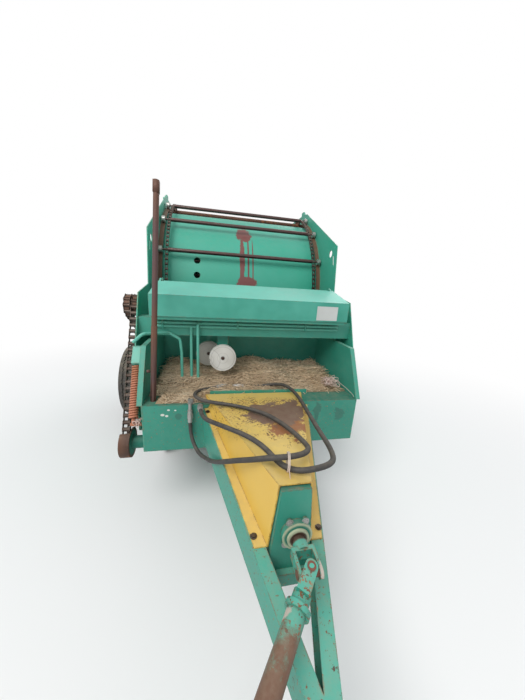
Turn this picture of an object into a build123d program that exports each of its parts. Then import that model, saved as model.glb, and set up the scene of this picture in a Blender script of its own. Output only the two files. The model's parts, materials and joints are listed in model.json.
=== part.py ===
from build123d import *
import math
import os

# Round baler of the fixed-chamber kind, towed on two wheels and parked on its drawbar stand.
# Frame: z = 0 is the ground, -Y the way it travels, +X its left side, x = 0 its centre plane,
# and y = 0 lies midway between its foremost and rearmost points. All sizes are in millimetres.

# Sheet and plate thicknesses
SHEET = 4.0
WALL = 6.0
FLANGE = 8.0

# Clearances
SEAT_GAP = 0.3
TOOTH_GAP = 0.8
RUNNING_GAP = 6.0
PIN_GAP = 0.05

# Wheels and axle
AXLE_Y = 930.0
WHEEL_R = 385.0
WHEEL_WIDTH = 260.0
RIM_R = 200.0
AXLE_SIDE = 80.0
AXLE_TOP_Z = WHEEL_R + AXLE_SIDE / 2
SPINDLE_R = 28.0
BEAD_HALF = 95.0

# Bale chamber: its centre line stands on the rear floor roller, which clears the axle
INNER_RUN_R = 725.0
RUN_SPACING = 128.0
OUTER_RUN_R = INNER_RUN_R + RUN_SPACING
GATE_RIM_R = OUTER_RUN_R + 72.0
FLOOR_ROLLER_R = 90.0
FLOOR_ROLLER_ANGLES = (143.0, 163.0)
ROLLER_OVER_AXLE = 40.6
floor_roller_drop = (INNER_RUN_R + FLOOR_ROLLER_R) * math.cos(math.radians(180 - FLOOR_ROLLER_ANGLES[1]))
CHAMBER_Y = 1160.0
CHAMBER_Z = AXLE_TOP_Z + ROLLER_OVER_AXLE + FLOOR_ROLLER_R + floor_roller_drop
CHAMBER_HALF = 702.0
SPLIT_Y = CHAMBER_Y - 105.0
SPLIT_GAP = 6.0
WALL_BOTTOM_Z = 536.0
WALL_OUT_X = CHAMBER_HALF + WALL
LOOP_MIDDLE_R = (OUTER_RUN_R + INNER_RUN_R) / 2
LOOP_END_R = RUN_SPACING / 2

# Conveyors, from the walls inwards: rollers, chains, cross rods
ROLLER_R = 26.0
ROLLER_WIDTH = 24.0
ROLLER_X = CHAMBER_HALF - 16.0 - ROLLER_WIDTH / 2
CHAIN_WIDTH = 22.0
CHAIN_HEIGHT = 26.0
CHAIN_PLATE = 4.0
CHAIN_X = ROLLER_X - ROLLER_WIDTH / 2 - 26.0 - CHAIN_WIDTH / 2
CHAIN_SIDES = (CHAIN_X - CHAIN_WIDTH / 2, CHAIN_X + CHAIN_WIDTH / 2)
CHAIN_ROLLER_R = 11.5
CHAIN_TIP = 6.0
ROD_R = 16.0
ROD_PIN_R = 7.0
ROD_PITCH = 312.0
LINKS_PER_ROD = 8
FIRST_ROD_ANGLE = 6.0
FRONT_LOOP_START = 15.5
FRONT_LOOP_END = 118.0
GATE_LOOP_START = -9.0
GATE_LOOP_END = -170.0
LOOP_SHAFT_R = 25.0

# Chassis rails and front cross-beam
RAIL_X = (CHAMBER_HALF - 74.0, CHAMBER_HALF)
RAIL_TOP_Z = 600.0
BEAM_FRONT_Y = -581.0
BEAM_DEPTH = 220.0
BEAM_REAR_Y = BEAM_FRONT_Y + BEAM_DEPTH
BEAM_TOP_Z = 813.0
BEAM_BOTTOM_Z = WALL_BOTTOM_Z
BEAM_HALF = RAIL_X[0] - WALL
BEAM_WALL = 8.0

# Drawbar: two channels that meet at the nose
DRAWBAR_REAR_X = 306.0
DRAWBAR_REAR_TOP_Z = 786.0
DRAWBAR_REAR_DEPTH = 200.0
DRAWBAR_NOSE_Y = -1600.0
DRAWBAR_NOSE_TOP_Z = 545.0
DRAWBAR_NOSE_DEPTH = 100.0
DRAWBAR_FLANGE = 45.0
DRAWBAR_SLOPE_X = 0.268

# Hitch
HITCH_Y = -1890.0
HITCH_Z = 495.0
HITCH_HOLE_R = 22.0
HITCH_EYE_R = 48.0
HITCH_THICK = 34.0

# Tailgate
HINGE_Y = SPLIT_Y
HINGE_Z = CHAMBER_Z + 900.0
HINGE_PIN_R = 15.0

# Tailgate cylinders, from the chassis pin to the gate pin
RAM_X = WALL_OUT_X + 54.0
RAM_FOOT = (CHAMBER_Y - 390.0, CHAMBER_Z - 435.0)
RAM_EYE = (CHAMBER_Y + 160.0, CHAMBER_Z + 465.0)
RAM_BARREL_R = 32.0
RAM_ROD_R = 17.5
RAM_BARREL_LENGTH = 760.0
RAM_PIN_R = 14.0

# Where the wheels stand, outside the cylinders
WHEEL_X = CHAMBER_HALF + 318.0

# Pickup, under the chamber's mouth
REEL_Y = 150.0
REEL_Z = 330.0
REEL_SHAFT_R = 22.0
TINE_TIP_R = 250.0
TINE_BAR_R = 120.0
TINE_R = 4.0
TINE_COLUMNS = 8
TINE_PITCH = 140.0
HOOP_R = 190.0
PICKUP_PIVOT = (REEL_Y + 390.0, REEL_Z + 160.0)
PICKUP_PIN_R = 14.0
PICKUP_SIDE_X = (RAIL_X[0] - 48.0, RAIL_X[0] - 42.0)
GAUGE_WHEEL = (REEL_Y + 60.0, 156.0)
GAUGE_WHEEL_R = 150.0
GAUGE_WHEEL_X = PICKUP_SIDE_X[1] + 69.0

# Main drive: heavy roller chain from the beam's end to an upper sprocket, then to the conveyor's shaft
DRIVE_PITCH = 38.1
DRIVE_CHAIN_WIDTH = 40.0
DRIVE_CHAIN_HEIGHT = 32.0
DRIVE_PLATE = 5.0
DRIVE_ROLLER_R = 12.5
DRIVE_X = -(WALL_OUT_X + DRIVE_CHAIN_WIDTH / 2 + RUNNING_GAP)
OUTER_DRIVE_X = DRIVE_X - DRIVE_CHAIN_WIDTH - RUNNING_GAP
LOWER_SPROCKET = (-490.0, 542.0)
LOWER_SPROCKET_R = 43.0
GUARD_R = 84.0
GUARD_HALF_WIDTH = 27.0
UPPER_SPROCKET = (-120.0, 1290.0)
UPPER_SPROCKET_R = 60.0
CONVEYOR_SPROCKET_R = 95.0
SPROCKET_TIP = 7.0

# Power take-off shaft
PTO_Z = 700.0
PTO_CROSS = (10.0, -1395.0, PTO_Z)
PTO_INPUT_R = 19.0
PTO_OUTER_TUBE_R = 25.0
PTO_INNER_TUBE_R = 20.0
PTO_OUTER_TUBE_END = 560.0
PTO_HEADING = (-0.64, -0.755, -0.14)
PTO_LENGTH = 900.0
PTO_END_HUB_R = 30.0
PTO_BORE_R = 17.5
PTO_BORE_DEPTH = 90.0

os.makedirs("parts", exist_ok=True)


def save(name, shape):
    shape.label = name
    export_step(shape, f"parts/{name}.step")


def block(x, y, z):
    """A box from its lowest and highest x, y and z."""
    size = (x[1] - x[0], y[1] - y[0], z[1] - z[0])
    middle = ((x[0] + x[1]) / 2, (y[0] + y[1]) / 2, (z[0] + z[1]) / 2)
    return Pos(*middle) * Box(*size)


def plate(outline, x0, x1):
    """A flat plate across X with a y, z outline."""
    edge = Polyline(*[(x0, y, z) for y, z in outline], close=True)
    return extrude(make_face(edge), amount=x1 - x0, dir=(1, 0, 0))


def bar(start, end, radius):
    """A round bar between two points."""
    start = Vector(*start)
    along = Vector(*end) - start
    return extrude(Plane(origin=start, z_dir=along) * Circle(radius), amount=along.length)


def disc(x0, x1, centre, radius):
    """A disc or drum whose axis lies along X."""
    return bar((x0, *centre), (x1, *centre), radius)


def on_ring(radius, angle):
    """The y, z point of a circle about the chamber, by its angle forward of the top."""
    turn = math.radians(angle)
    return (CHAMBER_Y - radius * math.sin(turn), CHAMBER_Z + radius * math.cos(turn))


def band(inner, outer, start, end, x0, x1):
    """A curved strip about the chamber's centre line between two angles."""
    middle = (start + end) / 2
    rim = ThreePointArc(*[(x0, *on_ring(outer, a)) for a in (start, middle, end)])
    back = ThreePointArc(*[(x0, *on_ring(inner, a)) for a in (end, middle, start)])
    close_end = Line(rim @ 1, back @ 0)
    close_start = Line(back @ 1, rim @ 0)
    face = make_face([rim, close_end, back, close_start])
    return extrude(face, amount=x1 - x0, dir=(1, 0, 0))


def mirrored(shape):
    return mirror(shape, about=Plane.YZ)


def both_sides(shape):
    return Compound(children=[shape, mirrored(shape)])


def path_length(part):
    """The length of one stretch of a path: ("line", start, end) or ("arc", centre, radius, from, sweep)."""
    if part[0] == "line":
        return math.dist(part[1], part[2])
    return part[2] * abs(part[4])


def path_point(part, share):
    """The y, z point at a share of the way along one stretch."""
    if part[0] == "line":
        return tuple(a + (b - a) * share for a, b in zip(part[1], part[2]))
    centre, radius, start, sweep = part[1:]
    angle = start + sweep * share
    return (centre[0] + radius * math.cos(angle), centre[1] + radius * math.sin(angle))


def spaced_points(path, count, offset):
    """Evenly spaced points round a closed path, each with the number of its stretch."""
    total = sum(path_length(part) for part in path)
    points = []
    for index in range(count):
        along = (offset + index * total / count) % total
        for number, part in enumerate(path):
            if along <= path_length(part):
                break
            along -= path_length(part)
        points.append((number, path_point(part, along / path_length(part))))
    return points


def path_plate(path, x0, x1):
    """A flat plate across X inside a closed path."""
    edges = []
    for part in path:
        start, middle, end = ((x0, *path_point(part, share)) for share in (0, 0.5, 1))
        edges.append(Line(start, end) if part[0] == "line" else ThreePointArc(start, middle, end))
    return extrude(make_face(edges), amount=x1 - x0, dir=(1, 0, 0))


def conveyor_path(start, end, grow=0.0):
    """A conveyor loop, grown outwards: the outer run, the far turn, the inner run and the near turn."""
    side = 1 if end > start else -1
    sweep = math.radians(end - start)
    first = math.radians(90 + start)
    last = math.radians(90 + end)
    chamber = (CHAMBER_Y, CHAMBER_Z)
    return [
        ("arc", chamber, OUTER_RUN_R + grow, first, sweep),
        ("arc", on_ring(LOOP_MIDDLE_R, end), LOOP_END_R + grow, last, side * math.pi),
        ("arc", chamber, INNER_RUN_R - grow, last, -sweep),
        ("arc", on_ring(LOOP_MIDDLE_R, start), LOOP_END_R + grow, first + math.pi, side * math.pi),
    ]


def belt_path(first, first_r, second, second_r, grow=0.0):
    """The path of a chain round two sprockets, grown outwards."""
    facing = math.atan2(second[1] - first[1], second[0] - first[0])
    side = math.acos((first_r - second_r) / math.dist(first, second))
    ends = []
    for centre, radius in ((first, first_r + grow), (second, second_r + grow)):
        for angle in (facing + side, facing - side):
            ends.append((centre[0] + radius * math.cos(angle), centre[1] + radius * math.sin(angle)))
    return [
        ("line", ends[0], ends[2]),
        ("arc", second, second_r + grow, facing + side, -2 * side),
        ("line", ends[3], ends[1]),
        ("arc", first, first_r + grow, facing - side, 2 * side - 2 * math.pi),
    ]


def link_count(path, pitch):
    return round(sum(path_length(part) for part in path) / pitch)


def chain_band(outer, inner, x, width, side_plate, roller_r, rollers):
    """A roller chain's loop: the link plates of each side as one band, joined by the rollers."""
    x0 = x - width / 2
    side = path_plate(outer, x0, x0 + side_plate) - path_plate(inner, x0 - 1, x0 + side_plate + 1)
    pieces = [Pos(width - side_plate, 0, 0) * side]
    for centre in rollers:
        flat = Plane(origin=(x0 + side_plate, *centre), z_dir=(1, 0, 0)) * RegularPolygon(roller_r, 6)
        pieces.append(extrude(flat, amount=width - 2 * side_plate))
    return side + pieces


def sprocket(x, width, centre, radius, roller_r, tip, rollers):
    """A toothed wheel with a gap at each roller that it meets, and even gaps in the rest of its rim."""
    near = [p for p in rollers if math.dist(p, centre) < radius + tip + roller_r]
    facing = math.atan2(sum(p[1] - centre[1] for p in near), sum(p[0] - centre[0] for p in near))
    places = []
    for y, z in near:
        turn = math.atan2(z - centre[1], y - centre[0]) - facing
        places.append(((turn + math.pi) % (2 * math.pi) - math.pi, math.dist((y, z), centre)))
    places.sort()
    rest = 2 * math.pi - (places[-1][0] - places[0][0])
    spare = round(rest * (len(places) - 1) / (places[-1][0] - places[0][0]))
    places += [(places[-1][0] + rest * share / spare, radius) for share in range(1, spare)]
    gaps = []
    for turn, out in places:
        for reach in (out, out + tip):
            angle = facing + turn
            seat = (centre[0] + reach * math.cos(angle), centre[1] + reach * math.sin(angle))
            gaps.append(disc(x - width, x + width, seat, roller_r + TOOTH_GAP))
    return disc(x - width / 2, x + width / 2, centre, radius + tip) - gaps


def rod_points(start, end):
    path = conveyor_path(start, end)
    return spaced_points(path, link_count(path, ROD_PITCH), math.radians(FIRST_ROD_ANGLE) * OUTER_RUN_R)


def roller_points(start, end):
    """The chain's rollers, apart from the hidden ones between two rods of the inner run."""
    path = conveyor_path(start, end)
    count = link_count(path, ROD_PITCH) * LINKS_PER_ROD
    points = spaced_points(path, count, math.radians(FIRST_ROD_ANGLE) * OUTER_RUN_R)
    return [place for link, (number, place) in enumerate(points) if number != 2 or link % LINKS_PER_ROD == 0]


def conveyor_chains(start, end, rollers):
    """The chain loops at the two sides of a conveyor, with a hole for every rod's pin."""
    outer = conveyor_path(start, end, CHAIN_HEIGHT / 2)
    inner = conveyor_path(start, end, -CHAIN_HEIGHT / 2)
    rods = [place for number, place in rod_points(start, end)]
    chain = chain_band(outer, inner, CHAIN_X, CHAIN_WIDTH, CHAIN_PLATE, CHAIN_ROLLER_R, rollers)
    chain -= [disc(CHAIN_SIDES[0] - 1, CHAIN_SIDES[1] + 1, rod, ROD_PIN_R + PIN_GAP) for rod in rods]
    return both_sides(chain)


def plain_chains(start, end):
    """The chain loops at the two sides of the hidden conveyor, closed between their plates."""
    chain = path_plate(conveyor_path(start, end, CHAIN_HEIGHT / 2), *CHAIN_SIDES)
    chain -= path_plate(conveyor_path(start, end, -CHAIN_HEIGHT / 2), CHAIN_SIDES[0] - 1, CHAIN_SIDES[1] + 1)
    pins = [
        disc(CHAIN_SIDES[0] - 1, CHAIN_SIDES[1] + 1, rod, ROD_PIN_R + PIN_GAP)
        for number, rod in rod_points(start, end)
    ]
    return both_sides(chain - pins)


def conveyor_rods(start, end):
    """The cross rods between the chains, each with a pin and a roller at both ends."""
    rods = []
    shoulder_x = CHAIN_SIDES[0] - SEAT_GAP
    roller_x = (ROLLER_X - ROLLER_WIDTH / 2, ROLLER_X + ROLLER_WIDTH / 2)
    for number, centre in rod_points(start, end):
        side = disc(shoulder_x, roller_x[1] + 2, centre, ROD_PIN_R) + disc(*roller_x, centre, ROLLER_R)
        rods.append(disc(-shoulder_x, shoulder_x, centre, ROD_R) + side + mirrored(side))
    return Compound(children=rods)


def loop_shafts(start, end, rollers):
    """The turning shafts at the ends of a conveyor, with a sprocket at each side of each shaft."""
    shafts = []
    inside = CHAIN_WIDTH - 2 * CHAIN_PLATE - 2
    for angle in (start, end):
        centre = on_ring(LOOP_MIDDLE_R, angle)
        if rollers:
            wheel = sprocket(CHAIN_X, inside, centre, LOOP_END_R, CHAIN_ROLLER_R, CHAIN_TIP, rollers)
        else:
            wheel = disc(*CHAIN_SIDES, centre, LOOP_END_R - CHAIN_HEIGHT / 2 - SEAT_GAP)
        shaft = disc(-CHAMBER_HALF, CHAMBER_HALF, centre, LOOP_SHAFT_R)
        shafts.append(shaft + wheel + mirrored(wheel))
    return Compound(children=shafts)


def runner_rails(start, end):
    """The curved ledges that the rod rollers run on, welded to one wall's inner face."""
    x0 = ROLLER_X - ROLLER_WIDTH / 2
    clear = ROLLER_R + SEAT_GAP
    outer_top = OUTER_RUN_R - clear
    inner_bottom = INNER_RUN_R + clear
    outer = band(outer_top - WALL, outer_top, start, end, x0, CHAMBER_HALF)
    inner = band(inner_bottom, inner_bottom + WALL, start, end, x0, CHAMBER_HALF)
    return outer + inner


# Fixed front half of the chamber
hinge_under_z = HINGE_Z - 10
wall_outline = [
    (SPLIT_Y, hinge_under_z),
    (CHAMBER_Y - 265, CHAMBER_Z + 878),
    (CHAMBER_Y - 1053, CHAMBER_Z + 468),
    (60, 1430),
    (-207, 1381),
    (-344, 1045),
    (-361, WALL_BOTTOM_Z),
    (SPLIT_Y, WALL_BOTTOM_Z),
]
wall = plate(wall_outline, CHAMBER_HALF, WALL_OUT_X)
peep_hole = (210, 1752)
slit = [(150, 1728), (170, 1736), (150, 1664), (130, 1656)]
wall -= disc(CHAMBER_HALF - 1, WALL_OUT_X + 1, peep_hole, 28)
wall -= plate(slit, CHAMBER_HALF - 1, WALL_OUT_X + 1)
wall += runner_rails(FRONT_LOOP_START + 4, FRONT_LOOP_END - 4)

# The gate's hinge bracket with its pin, and the cylinder's foot pin, on the wall's outer face
bracket_x = (WALL_OUT_X, WALL_OUT_X + 14)
bracket_outline = [(-70, -85), (30, -45), (30, 30), (-30, 30), (-70, -10)]
wall += plate([(HINGE_Y + y, HINGE_Z + z) for y, z in bracket_outline], *bracket_x)
wall += disc(bracket_x[0], bracket_x[1] + 28, (HINGE_Y, HINGE_Z), HINGE_PIN_R)
wall += disc(WALL_OUT_X, RAM_X - 14, RAM_FOOT, 18)
wall += disc(WALL_OUT_X, RAM_X + 16, RAM_FOOT, RAM_PIN_R)
save("chamber_wall_left", wall)
save("chamber_wall_right", mirrored(wall))

sheet_trim = math.degrees((LOOP_END_R + CHAIN_TIP + RUNNING_GAP) / LOOP_MIDDLE_R)
front_sheet = band(
    LOOP_MIDDLE_R - SHEET / 2, LOOP_MIDDLE_R + SHEET / 2,
    FRONT_LOOP_START + sheet_trim, FRONT_LOOP_END - sheet_trim, -CHAMBER_HALF, CHAMBER_HALF,
)
for height in (1634, 1516):
    front_sheet -= bar((-392, 0, height), (-392, CHAMBER_Y, height), 26)
save("front_sheet", front_sheet)
front_rollers = roller_points(FRONT_LOOP_START, FRONT_LOOP_END)
save("front_conveyor", conveyor_chains(FRONT_LOOP_START, FRONT_LOOP_END, front_rollers))
save("front_rods", conveyor_rods(FRONT_LOOP_START, FRONT_LOOP_END))
save("front_loop_shafts", loop_shafts(FRONT_LOOP_START, FRONT_LOOP_END, front_rollers))

floor_rollers = []
for angle, shaft_half in zip(FLOOR_ROLLER_ANGLES, (CHAMBER_HALF, RAIL_X[0])):
    centre = on_ring(INNER_RUN_R + FLOOR_ROLLER_R, angle)
    drum = disc(-RAIL_X[0] + 13, RAIL_X[0] - 13, centre, FLOOR_ROLLER_R)
    floor_rollers.append(drum + disc(-shaft_half, shaft_half, centre, LOOP_SHAFT_R))
save("floor_rollers", Compound(children=floor_rollers))

apron = block((-CHAMBER_HALF, CHAMBER_HALF), (100, 106), (850, 1430))
save("front_apron", apron)

# Tailgate
gate_front_y = SPLIT_Y + SPLIT_GAP
gate_x = (CHAMBER_HALF, WALL_OUT_X)
gate_wall = disc(*gate_x, (CHAMBER_Y, CHAMBER_Z), GATE_RIM_R)
keep = block((gate_x[0] - 1, gate_x[1] + 1), (gate_front_y, 3000), (0, hinge_under_z))
gate_wall = gate_wall & keep
gate_wall += runner_rails(GATE_LOOP_END + 4, GATE_LOOP_START - 4)
lug_x = (bracket_x[1] + 1, bracket_x[1] + 15)
lug_outline = [(-30, -35), (5, 30), (145, -10), (145, -115), (75, -115)]
lug = plate([(HINGE_Y + y, HINGE_Z + z) for y, z in lug_outline], *lug_x)
lug += block((gate_x[1], lug_x[0]), (HINGE_Y + 55, HINGE_Y + 145), (HINGE_Z - 115, HINGE_Z - 20))
lug -= disc(lug_x[0] - 1, lug_x[1] + 1, (HINGE_Y, HINGE_Z), HINGE_PIN_R + PIN_GAP)
gate_wall += lug
gate_wall += disc(gate_x[1], RAM_X - 14, RAM_EYE, 18)
save("gate_wall_left", gate_wall)
save("gate_wall_right", mirrored(gate_wall))

skin_r = GATE_RIM_R - 20
gate_skin = band(skin_r - SHEET, skin_r, -14, -166, -CHAMBER_HALF, CHAMBER_HALF)
for angle in (-30, -62, -94, -126, -158):
    gate_skin += band(skin_r - 1, skin_r + 40, angle - 2.2, angle + 2.2, -CHAMBER_HALF, CHAMBER_HALF)
save("gate_skin", gate_skin)
save("gate_conveyor", plain_chains(GATE_LOOP_START, GATE_LOOP_END))
save("gate_rods", conveyor_rods(GATE_LOOP_START, GATE_LOOP_END))
save("gate_loop_shafts", loop_shafts(GATE_LOOP_START, GATE_LOOP_END, []))

# Tailgate cylinders
foot = Vector(0, *RAM_FOOT)
eye = Vector(0, *RAM_EYE)
ram_way = (eye - foot).normalized()


def ram_point(along):
    point = foot + ram_way * along
    return (RAM_X, point.Y, point.Z)


ram_length = (eye - foot).length
eye_width = 12.0
ram_bore_r = RAM_ROD_R + PIN_GAP
barrel = bar(ram_point(40), ram_point(RAM_BARREL_LENGTH), RAM_BARREL_R)
barrel += bar(ram_point(20), ram_point(60), 16)
barrel += disc(RAM_X - eye_width, RAM_X + eye_width, RAM_FOOT, 26)
barrel -= disc(RAM_X - 20, RAM_X + 20, RAM_FOOT, RAM_PIN_R + PIN_GAP)
barrel -= bar(ram_point(80), ram_point(RAM_BARREL_LENGTH + 1), ram_bore_r)
ram_rod = bar(ram_point(100), ram_point(ram_length - 20), RAM_ROD_R)
ram_rod += disc(RAM_X - eye_width, RAM_X + eye_width, RAM_EYE, 26)
ram_rod += disc(RAM_X, RAM_X + eye_width + 6, RAM_EYE, RAM_PIN_R)
save("ram_barrel_left", barrel)
save("ram_barrel_right", mirrored(barrel))
save("ram_rod_left", ram_rod)
save("ram_rod_right", mirrored(ram_rod))

# Chassis rails, axle and wheels
rail = block(RAIL_X, (BEAM_REAR_Y, SPLIT_Y), (WALL_BOTTOM_Z, RAIL_TOP_Z))
hollow = block(
    (RAIL_X[0] + WALL, RAIL_X[1] - WALL), (BEAM_REAR_Y - 1, SPLIT_Y + 1),
    (WALL_BOTTOM_Z + WALL, RAIL_TOP_Z - WALL),
)
rail -= hollow
pivot_span = (PICKUP_PIVOT[0] - 40, PICKUP_PIVOT[0] + 40)
rail += block((RAIL_X[0], RAIL_X[0] + 10), pivot_span, (PICKUP_PIVOT[1] - 30, WALL_BOTTOM_Z))
rail += disc(PICKUP_SIDE_X[0] - 2, RAIL_X[0] + 10, PICKUP_PIVOT, PICKUP_PIN_R)
save("side_rails", both_sides(rail))

axle_end_x = WHEEL_X - WHEEL_WIDTH / 2 - 30
axle = block(
    (-axle_end_x, axle_end_x), (AXLE_Y - AXLE_SIDE / 2, AXLE_Y + AXLE_SIDE / 2),
    (WHEEL_R - AXLE_SIDE / 2, AXLE_TOP_Z),
)
post = block(RAIL_X, (AXLE_Y - 70, AXLE_Y + 70), (AXLE_TOP_Z, WALL_BOTTOM_Z))
axle += post + mirrored(post)
spindle = disc(axle_end_x, WHEEL_X + 60, (AXLE_Y, WHEEL_R), SPINDLE_R)
axle += spindle + mirrored(spindle)
save("axle", axle)

wheel_centre = (AXLE_Y, WHEEL_R)
half_width = WHEEL_WIDTH / 2


def wheel_edge(offset, out):
    """A point of the wheel's section: its distance from the wheel's middle and from the axis."""
    return (WHEEL_X + offset, AXLE_Y, WHEEL_R + out)


tyre_flank = half_width - 6
tyre_edges = [
    Line(wheel_edge(-BEAD_HALF, RIM_R), wheel_edge(BEAD_HALF, RIM_R)),
    ThreePointArc(
        wheel_edge(BEAD_HALF, RIM_R), wheel_edge(half_width, RIM_R + 92), wheel_edge(tyre_flank, WHEEL_R - 28)
    ),
    ThreePointArc(wheel_edge(tyre_flank, WHEEL_R - 28), wheel_edge(0, WHEEL_R), wheel_edge(-tyre_flank, WHEEL_R - 28)),
    ThreePointArc(
        wheel_edge(-tyre_flank, WHEEL_R - 28), wheel_edge(-half_width, RIM_R + 92), wheel_edge(-BEAD_HALF, RIM_R)
    ),
]
wheel_axis = Axis((0, AXLE_Y, WHEEL_R), (1, 0, 0))
tyre = revolve(make_face(tyre_edges), wheel_axis, 360)
save("tyre_left", tyre)
save("tyre_right", mirrored(tyre))

# The rim's section: barrel with its two lips, dished disc and hub
rim_out = RIM_R - SEAT_GAP
rim_section = [
    (-BEAD_HALF, rim_out), (BEAD_HALF, rim_out), (BEAD_HALF, rim_out - 12), (20, rim_out - 26),
    (8, rim_out - 70), (48, 92), (48, 62), (75, 62), (75, 0), (-WHEEL_WIDTH / 2 - 24, 0),
    (-WHEEL_WIDTH / 2 - 24, 62), (40, 62), (40, 88), (-2, rim_out - 76), (10, rim_out - 26),
    (-BEAD_HALF, rim_out - 12),
]
rim = revolve(make_face(Polyline(*[wheel_edge(*p) for p in rim_section], close=True)), wheel_axis, 360)
rim -= disc(axle_end_x, WHEEL_X + 60 + RUNNING_GAP, wheel_centre, SPINDLE_R + PIN_GAP)
WHEEL_BOLTS = 6
for index in range(WHEEL_BOLTS):
    turn = 2 * math.pi * index / WHEEL_BOLTS
    seat = (AXLE_Y + 76 * math.cos(turn), WHEEL_R + 76 * math.sin(turn))
    rim += disc(WHEEL_X + 44, WHEEL_X + 60, seat, 10)
save("rim_left", rim)
save("rim_right", mirrored(rim))

# Front cross-beam, cheeks and platform
beam = block((-BEAM_HALF, BEAM_HALF), (BEAM_FRONT_Y, BEAM_REAR_Y), (BEAM_BOTTOM_Z, BEAM_TOP_Z))
beam -= block(
    (-BEAM_HALF + BEAM_WALL, BEAM_HALF - BEAM_WALL),
    (BEAM_FRONT_Y + BEAM_WALL, BEAM_REAR_Y - BEAM_WALL),
    (BEAM_BOTTOM_Z + BEAM_WALL, BEAM_TOP_Z - BEAM_WALL),
)
save("front_beam", beam)

cheek_x = (BEAM_HALF, BEAM_HALF + WALL)
cheek_outline = [
    (100, 1103),
    (-430, 1103),
    (BEAM_FRONT_Y, BEAM_TOP_Z),
    (BEAM_FRONT_Y, BEAM_BOTTOM_Z),
    (100, BEAM_BOTTOM_Z),
]
cheek = plate(cheek_outline, *cheek_x)
cheek += plate(
    [(-430, 1103), (BEAM_FRONT_Y, BEAM_TOP_Z), (BEAM_FRONT_Y + FLANGE, BEAM_TOP_Z), (-422, 1103)],
    cheek_x[0], cheek_x[0] + 28,
)
cheek += block((cheek_x[0], cheek_x[0] + 28), (-430, 100), (1103 - WALL, 1103))
save("side_cheeks", both_sides(cheek))

DECK_TOP_Z = 812.0
deck = block((-BEAM_HALF, BEAM_HALF), (BEAM_REAR_Y, 100), (DECK_TOP_Z - SHEET, DECK_TOP_Z))
KERB_TOP_Z = BEAM_TOP_Z + 27.0
kerb = block((-272, 334), (-470, -470 + WALL), (BEAM_TOP_Z, KERB_TOP_Z))
kerb += block((-272, 334), (-470, -430), (BEAM_TOP_Z, BEAM_TOP_Z + WALL))
save("platform", Compound(children=[deck, kerb]))

# Twine box with its lid, the cross tube under it and the pipes along that
TUBE_Y = (-255.0, -155.0)
TUBE_Z = (1130.0, 1240.0)
cross_tube = block((-CHAMBER_HALF, CHAMBER_HALF), TUBE_Y, TUBE_Z)
cross_tube -= block(
    (-CHAMBER_HALF - 1, CHAMBER_HALF + 1), (TUBE_Y[0] + WALL, TUBE_Y[1] - WALL),
    (TUBE_Z[0] + WALL, TUBE_Z[1] - WALL),
)
save("cross_tube", cross_tube)

HOOD_HALF = BEAM_HALF - RUNNING_GAP
HOOD_REAR = (-75.0, 1461.0)
HOOD_NOSE = (-353.0, 1384.0)
HOOD_FRONT_BOTTOM_Z = 1260.0
box_half = HOOD_HALF - SHEET - RUNNING_GAP
box_front_y = HOOD_NOSE[0] + SHEET + RUNNING_GAP
box_rear_y = -95.0
box_outline = [
    (box_front_y, TUBE_Z[1]), (box_rear_y, TUBE_Z[1]), (box_rear_y, 1435), (box_front_y, 1368),
]
box_hollow = [
    (box_front_y + SHEET, TUBE_Z[1] + SHEET), (box_rear_y - SHEET, TUBE_Z[1] + SHEET),
    (box_rear_y - SHEET, 1500), (box_front_y + SHEET, 1500),
]
twine_box = plate(box_outline, -box_half, box_half)
twine_box -= plate(box_hollow, -box_half + SHEET, box_half - SHEET)
ear_x = (HOOD_HALF - 36, HOOD_HALF - 30)
HOOD_PIN_R = 6.0
ear_outline = [(box_rear_y, 1380), (-60, 1440), (-60, 1475), (-82, 1475), (box_rear_y, 1430)]
hinge_ear = plate(ear_outline, *ear_x)
hinge_ear += disc(ear_x[1], ear_x[1] + 20, HOOD_REAR, HOOD_PIN_R)
twine_box += hinge_ear + mirrored(hinge_ear)
save("twine_box", twine_box)

lid_outline = [
    (-88, 1457.4), HOOD_NOSE, (HOOD_NOSE[0], HOOD_FRONT_BOTTOM_Z),
    (HOOD_NOSE[0] + SHEET, HOOD_FRONT_BOTTOM_Z), (HOOD_NOSE[0] + SHEET, 1380.9), (-88, 1453.2),
]
lid = plate(lid_outline, -HOOD_HALF, HOOD_HALF)
lid_end = [(-88, 1457), HOOD_NOSE, (HOOD_NOSE[0], HOOD_FRONT_BOTTOM_Z), (-88, 1400)]
end_sheet = plate(lid_end, HOOD_HALF - SHEET, HOOD_HALF)
for side in (-1, 1):
    notch_x = side * (HOOD_HALF - 25)
    lid -= block((notch_x - 17, notch_x + 17), (-100, 0), (1400, 1500))
lid_ear = plate([(-110, 1450), (-66, 1472), (-66, 1450), (-110, 1440)], ear_x[1] + 6, ear_x[1] + 16)
lid_ear -= disc(ear_x[0], ear_x[1] + 24, HOOD_REAR, HOOD_PIN_R + PIN_GAP)
lid += end_sheet + mirrored(end_sheet) + lid_ear + mirrored(lid_ear)
save("hood_lid", lid)

# Two pipes along the tube, each with a branch down to the deck, and one from outside the cheek
PIPE_R = 9.0
PIPE_HALF = 600.0
PIPE_HEIGHTS = (1212.0, 1190.0)
pipe_y = TUBE_Y[0] - PIPE_R - SEAT_GAP
deck_top = DECK_TOP_Z + SEAT_GAP


def bent_pipe(points, bend):
    path = FilletPolyline(*points, radius=bend)
    return sweep(Plane(origin=path @ 0, z_dir=path % 0) * Circle(PIPE_R), path=path)


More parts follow.
